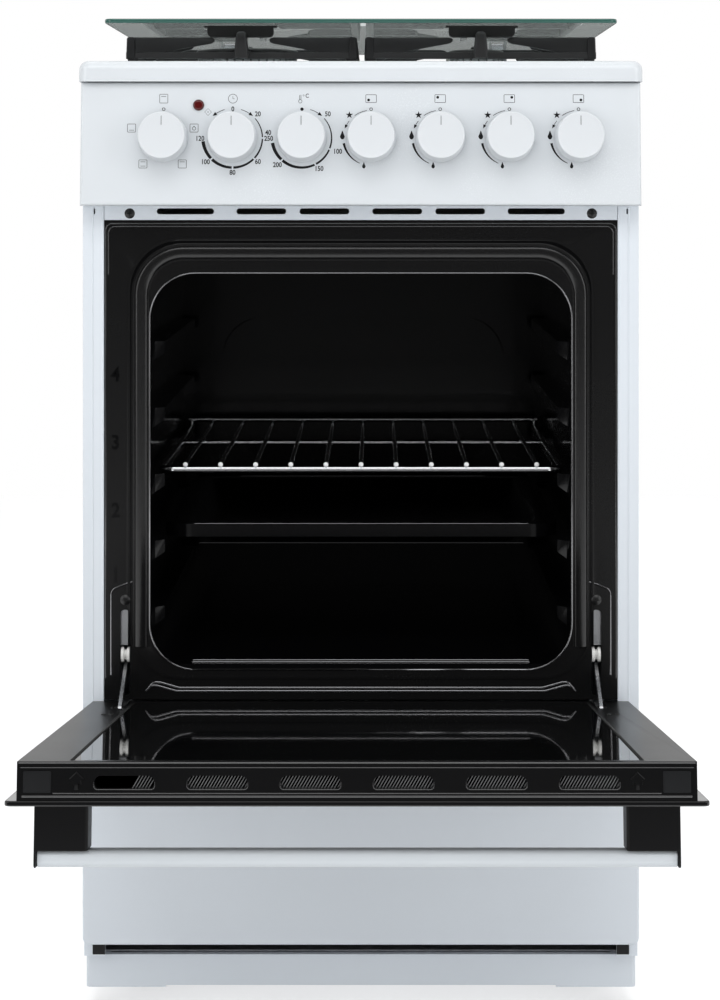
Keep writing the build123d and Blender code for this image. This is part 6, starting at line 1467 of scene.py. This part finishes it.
@dataclass
class Oven:
    """The oven's front frame, seal, cavity, shelf and tray. Sizes are in millimetres.

    Attributes:
        face_y: the frame's face.
        seal_x: middle of the seal's side runs.
        seal_top: middle of its top run.
        seal_low: its lower ends.
        seal_r: bend radius of its middle line.
        seal_w: its width.
        groove_out: distance of the line round the seal from the seal's middle.
        mouth: half width, half height and corner radius of the mouth's bead.
        mouth_z: the mouth's middle.
        rear_y: the cavity's rear wall.
        rear_x: middle of its pressing's side runs.
        rear_top: middle of its pressing's top run.
        number_x: X of the shelf numbers.
        numbers: each number's text and height.
        sill_rows: height and half length of the ribs under the mouth.
        sill_ends: how far a rib's end reaches and rises.
        floor_rows: Y of the beads on the cavity floor's front.
        frame_rows: X, top and lower end of the frame's beads.
        hook: corners of the bead over the right-hand hinge, X and Z.
        tray_rows: half length, Y and Z of the tray's rolled edges.
        wires: number of the shelf's wires.
        wire_pitch: distance between them.
    """

    face_y: float = -290.0
    seal_x: float = 196.05
    seal_top: float = 679.5
    seal_low: float = 328.2
    seal_r: float = 38.0
    seal_w: float = 14.6
    groove_out: float = 10.2
    mouth: Point = (188.4, 176.85, 40.6)
    mouth_z: float = 484.55
    rear_y: float = 138.0
    rear_x: float = 146.1
    rear_top: float = 593.7
    number_x: float = -218.8
    numbers: tuple[tuple[str, float], ...] = (("4", 570.5), ("3", 509.9), ("2", 449.2), ("1", 391.2))
    sill_rows: tuple[Spot, ...] = ((291.6, 162.0), (288.7, 164.5))
    sill_ends: tuple[Spot, ...] = ((0.0, 0.0), (17.0, 4.8), (23.0, 5.0), (27.0, 0.0))
    floor_rows: Spot = (-270.0, -279.0)
    frame_rows: tuple[Point, ...] = ((227.7, 705.6, 300.0), (225.2, 703.0, 660.0))
    hook: tuple[Spot, ...] = ((222.8, 303.0), (222.8, 379.0), (212.0, 383.5), (203.5, 386.0))
    tray_rows: tuple[Point, ...] = ((153.0, -237.0, 430.2), (153.0, -237.1, 426.9), (150.0, -209.2, 408.8),
                                    (130.0, 116.0, 430.5), (130.0, 89.5, 410.3))
    wires: int = 11
    wire_pitch: float = 31.9

    def build(self) -> list[Piece]:
        """Makes the oven's pieces."""
        enamel = ("root", "cavity_enamel")
        return [
            *formed("front_frame", 0.5, Finishes.FRONT_ENAMEL, *enamel),
            # Shelf numbers darker than the frame: painted shade of the pressing.
            *settle([self.figures()], Finishes.TRAY, *enamel),
            *settle([self.frame_rim()], Finishes.BEAD, *enamel),
            # Ribs, mouth bead, hinge hooks and tray edges in the bright metal GLINT finish: painted highlight on what
            # is black enamel.
            *settle([self.sill_lines(), self.mouth_rim()], Finishes.GLINT, *enamel),
            *settle([self.tray_beads()], Finishes.GLINT, "tray", "cavity_enamel"),
            # White wire ends: painted highlight.
            *settle([self.wire_ends()], Finishes.WIRE_END, "shelf", "chromed_wire"),
            # Seal groove and rear pressing in the darkest black: painted shade of the groove and the pressing.
            *settle([self.groove(), self.rear_band_shade()], Finishes.TRAY, *enamel),
            *settle([self.seal()], Finishes.RUBBER, "root", "seal_rubber", "door_gasket"),
            *formed("cavity_liner", 1.6, Finishes.BLACK_ENAMEL, *enamel, 3, 25.0, "cavity_formed"),
            *formed("baking_tray", 0.7, Finishes.TRAY, "tray", "cavity_enamel", 2, 25.0),
            *formed("hinge_housings", 0.5, Finishes.ZINC, "root", "zinc_steel"),
        ]

    def figures(self) -> Piece:
        """The pressed shelf numbers beside the mouth, in a darker black than the frame: painted shade of the
        pressing.
        """
        ink = Ink(Place((0.0, self.face_y * MM, 0.0), (1, 0, 0), (0, 0, 1)), 0.5 * MM, 0.1 * MM)
        for text, z in self.numbers:
            ink.words(text, mm(self.number_x, z), 12.5 * MM)
        return ink.piece("shelf_numbers")

    def sill_lines(self) -> Piece:
        """Two fine ribs under the mouth whose ends turn up, and two on the cavity floor's front edge."""
        shell = Shell()
        for z, reach in self.sill_rows:
            right = [(reach + out, self.face_y, z + rise) for out, rise in self.sill_ends]
            corners = [(-x, y, height) for x, y, height in reversed(right)] + right
            shell.tube(rounded_path(corners, 9.0), 0.95 * MM, up=FORWARD)
        for y in self.floor_rows:
            shell.tube(bead_path(151, y, 312.3, 0.2) * MM, 0.7 * MM, 8)
        return shell.solid("sill_lines", 50)

    def frame_rim(self) -> Piece:
        """The pressed bead that runs up the frame's sides and twice across its top."""
        return bars("frame_rim", [(rounded_path(arch(x, self.face_y, low, top), 6.0), 0.7)
                                  for x, top, low in self.frame_rows], up=FORWARD)

    def mouth_rim(self) -> Piece:
        """The bead round the mouth's edge, and the ones that hook over each hinge."""
        path = upright(round_rect(*self.mouth, 14) + [0, self.mouth_z], self.face_y) * MM
        hooks = [rounded_path([(side * x, self.face_y, z) for x, z in self.hook], 7.0, 6) for side, _ in SIDES]
        loop = np.concatenate([path[-1:], path, path[:2]])
        return bars("mouth_rim", [(loop, 0.75), *((hook, 0.8) for hook in hooks)], 8, FORWARD)

    def tray_beads(self) -> Piece:
        """The rolled edges of the tray: twice across its front, under its well, and at the rear."""
        return bars("tray_beads", [(bead_path(*row) * MM, 0.7) for row in self.tray_rows])

    def wire_ends(self) -> Piece:
        """The domed front end of each of the shelf's wires, drawn white as a painted highlight on the chrome."""
        _, front, low = np.array(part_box("wire_shelf")[0]) / MM
        shell = Shell()
        for number in range(self.wires):
            middle = [(number - (self.wires - 1) / 2) * self.wire_pitch, low + 7.4]
            shell.loft([upright(ring_path(2.3 * math.cos(bend), 14) + middle, front + 0.2 - 1.6 * math.sin(bend)) * MM
                        for bend in np.linspace(0.0, 0.97 * math.pi / 2, 6)])
        return shell.solid("shelf_wire_ends", 50)

    def rear_band_shade(self) -> Piece:
        """The pressing on the cavity's rear wall, up one side, over and down the other, drawn darker than the wall:
        painted shade of the pressing.
        """
        section = np.array([(-4.0, -0.6), (-4.0, 0.1), (-3.2, 0.5), (3.2, 0.5), (4.0, 0.1), (4.0, -0.6)]) * MM
        path = rounded_path(arch(self.rear_x, self.rear_y, 400.0, self.rear_top), 36.0, 16)
        return Shell().loft(swept(path, section, FORWARD)).solid("rear_band_shade", 50)

    def groove(self) -> Piece:
        """Painted shade: a matt black strip round the outside of the seal that stands for the shade in the groove
        there.
        """
        section = np.array([(-1.5, -0.5), (-1.5, 0.12), (1.5, 0.12), (1.5, -0.5)]) * MM
        path = self.seal_path(self.groove_out)
        return Shell().loft(swept(path, section, FORWARD)).solid("seal_groove_shade", smooth=False)

    def seal_path(self, out: float = 0.0) -> Array:
        """The seal's middle line moved outwards."""
        corners = arch(self.seal_x + out, self.face_y, self.seal_low, self.seal_top + out)
        return rounded_path(corners, self.seal_r + out, 18)

    def seal(self) -> Piece:
        """The door seal: a low dome between two lips, carried up one side, over the top and down the other.

        The dome's height is 1.6 times the square root of one minus the square of its share of the width.
        """
        share, half = np.linspace(-1, 1, 15), self.seal_w / 2
        dome = 1.6 * np.sqrt(np.clip(1 - share**2, 0, 1))
        across = np.concatenate([[-half, -half, -half + 1.6], share * (half - 1.9), [half - 1.6, half, half]])
        level = np.concatenate([[-0.9, 0.5, 0.5], dome + 0.02, [0.5, 0.5, -0.9]])
        section = np.stack([across, level], -1) * MM
        return Shell().loft(swept(self.seal_path(), section, FORWARD)).solid("door_seal", 35)


@dataclass
class Body:
    """The white sheet parts, the drawer, the plinth and the feet, with their folded edges rounded.

    Attributes:
        fold: rounding of a sheet's fold in millimetres.
        press: rounding of a pressed front's edge.
        flange_y: Y of the side panels' front flanges.
        fold_rows: X and radius of each fold on the flanges.
        fold_levels: heights of a fold's points.
        shade_patch_at: X and Y of the right-hand black patch of painted shade.
        shade_patch_z: the patches' lower and upper ends.
    """

    fold: float = 0.7
    press: float = 1.6
    flange_y: float = -290.0
    fold_rows: tuple[Spot, ...] = ((-238.9, 0.6), (-229.9, 0.7), (229.9, 0.7), (238.9, 0.6))
    fold_levels: tuple[float, ...] = (244.5, 246.0, 480.0, 719.0, 720.5)
    shade_patch_at: Spot = (234.8, -280.3)
    shade_patch_z: Spot = (50.4, 62.4)

    def build(self) -> list[Piece]:
        """Rounds the edges of the sheet parts, and makes the folds and the black patches of painted shade."""
        pieces = []
        for node, width, finish, body in (
                ("side_panel_left", self.fold, Finishes.SHEET_WHITE, "root"),
                ("side_panel_right", self.fold, Finishes.SHEET_WHITE, "root"),
                ("worktop", self.fold, Finishes.WHITE, "root"),
                ("control_panel", self.press, Finishes.WHITE, "root"),
                ("vent_rail", self.fold, Finishes.SHEET_WHITE, "root"),
                ("plinth", self.fold, Finishes.SHEET_WHITE, "root"),
                ("drawer_front", self.press, Finishes.SHEET_WHITE, "drawer")):
            pieces += formed(node, width, finish, body, "white_enamel")
        return [
            *pieces,
            *settle([self.folds()], Finishes.SHEET_WHITE, "root", "white_enamel"),
            # Black patches on the flanges behind the drawer: painted shade of the gap there.
            *settle(self.shade_patches(), Finishes.BUFFER, "root", "buffer_rubber"),
            *formed("base_frame", 0.5, Finishes.ZINC, "root", "zinc_steel"),
            *formed("levelling_feet", 0.6, Finishes.BLACK_PLASTIC, "root", "black_plastic"),
        ]

    def folds(self) -> Piece:
        """The fine folds that run up each side panel's front flange."""
        return bars("flange_folds", [(np.array([(x, self.flange_y, z) for z in self.fold_levels]) * MM, radius)
                                     for x, radius in self.fold_rows], 8, FORWARD)

    def shade_patches(self) -> list[Piece]:
        """Painted shade: matt black patches on the side panels' flanges behind the drawer's lower corners, where the
        gap lies in shade.
        """
        x, y = self.shade_patch_at
        return [Shell().loft(loaf(5.6, 0.5, 0.3, self.shade_patch_z, 0.3, (side * x, y), 3) * MM)
                .solid(f"drawer_gap_shade_{name}", 40) for side, name in SIDES]


ASSEMBLIES: tuple[type, ...] = (Panel, Lid, Hob, Door, Oven, Body)


def main() -> None:
    """Sets up the studio, dresses the nodes that are shown and builds every sub-assembly."""
    bpy.context.scene.view_settings.view_transform = "Standard"
    Studio().set_up()
    dress_shown_nodes()
    for assembly in ASSEMBLIES:
        for piece in assembly().build():
            LOG.info("%s: %d faces", piece.name, len(piece.data.polygons))


if __name__ == "__main__":
    main()
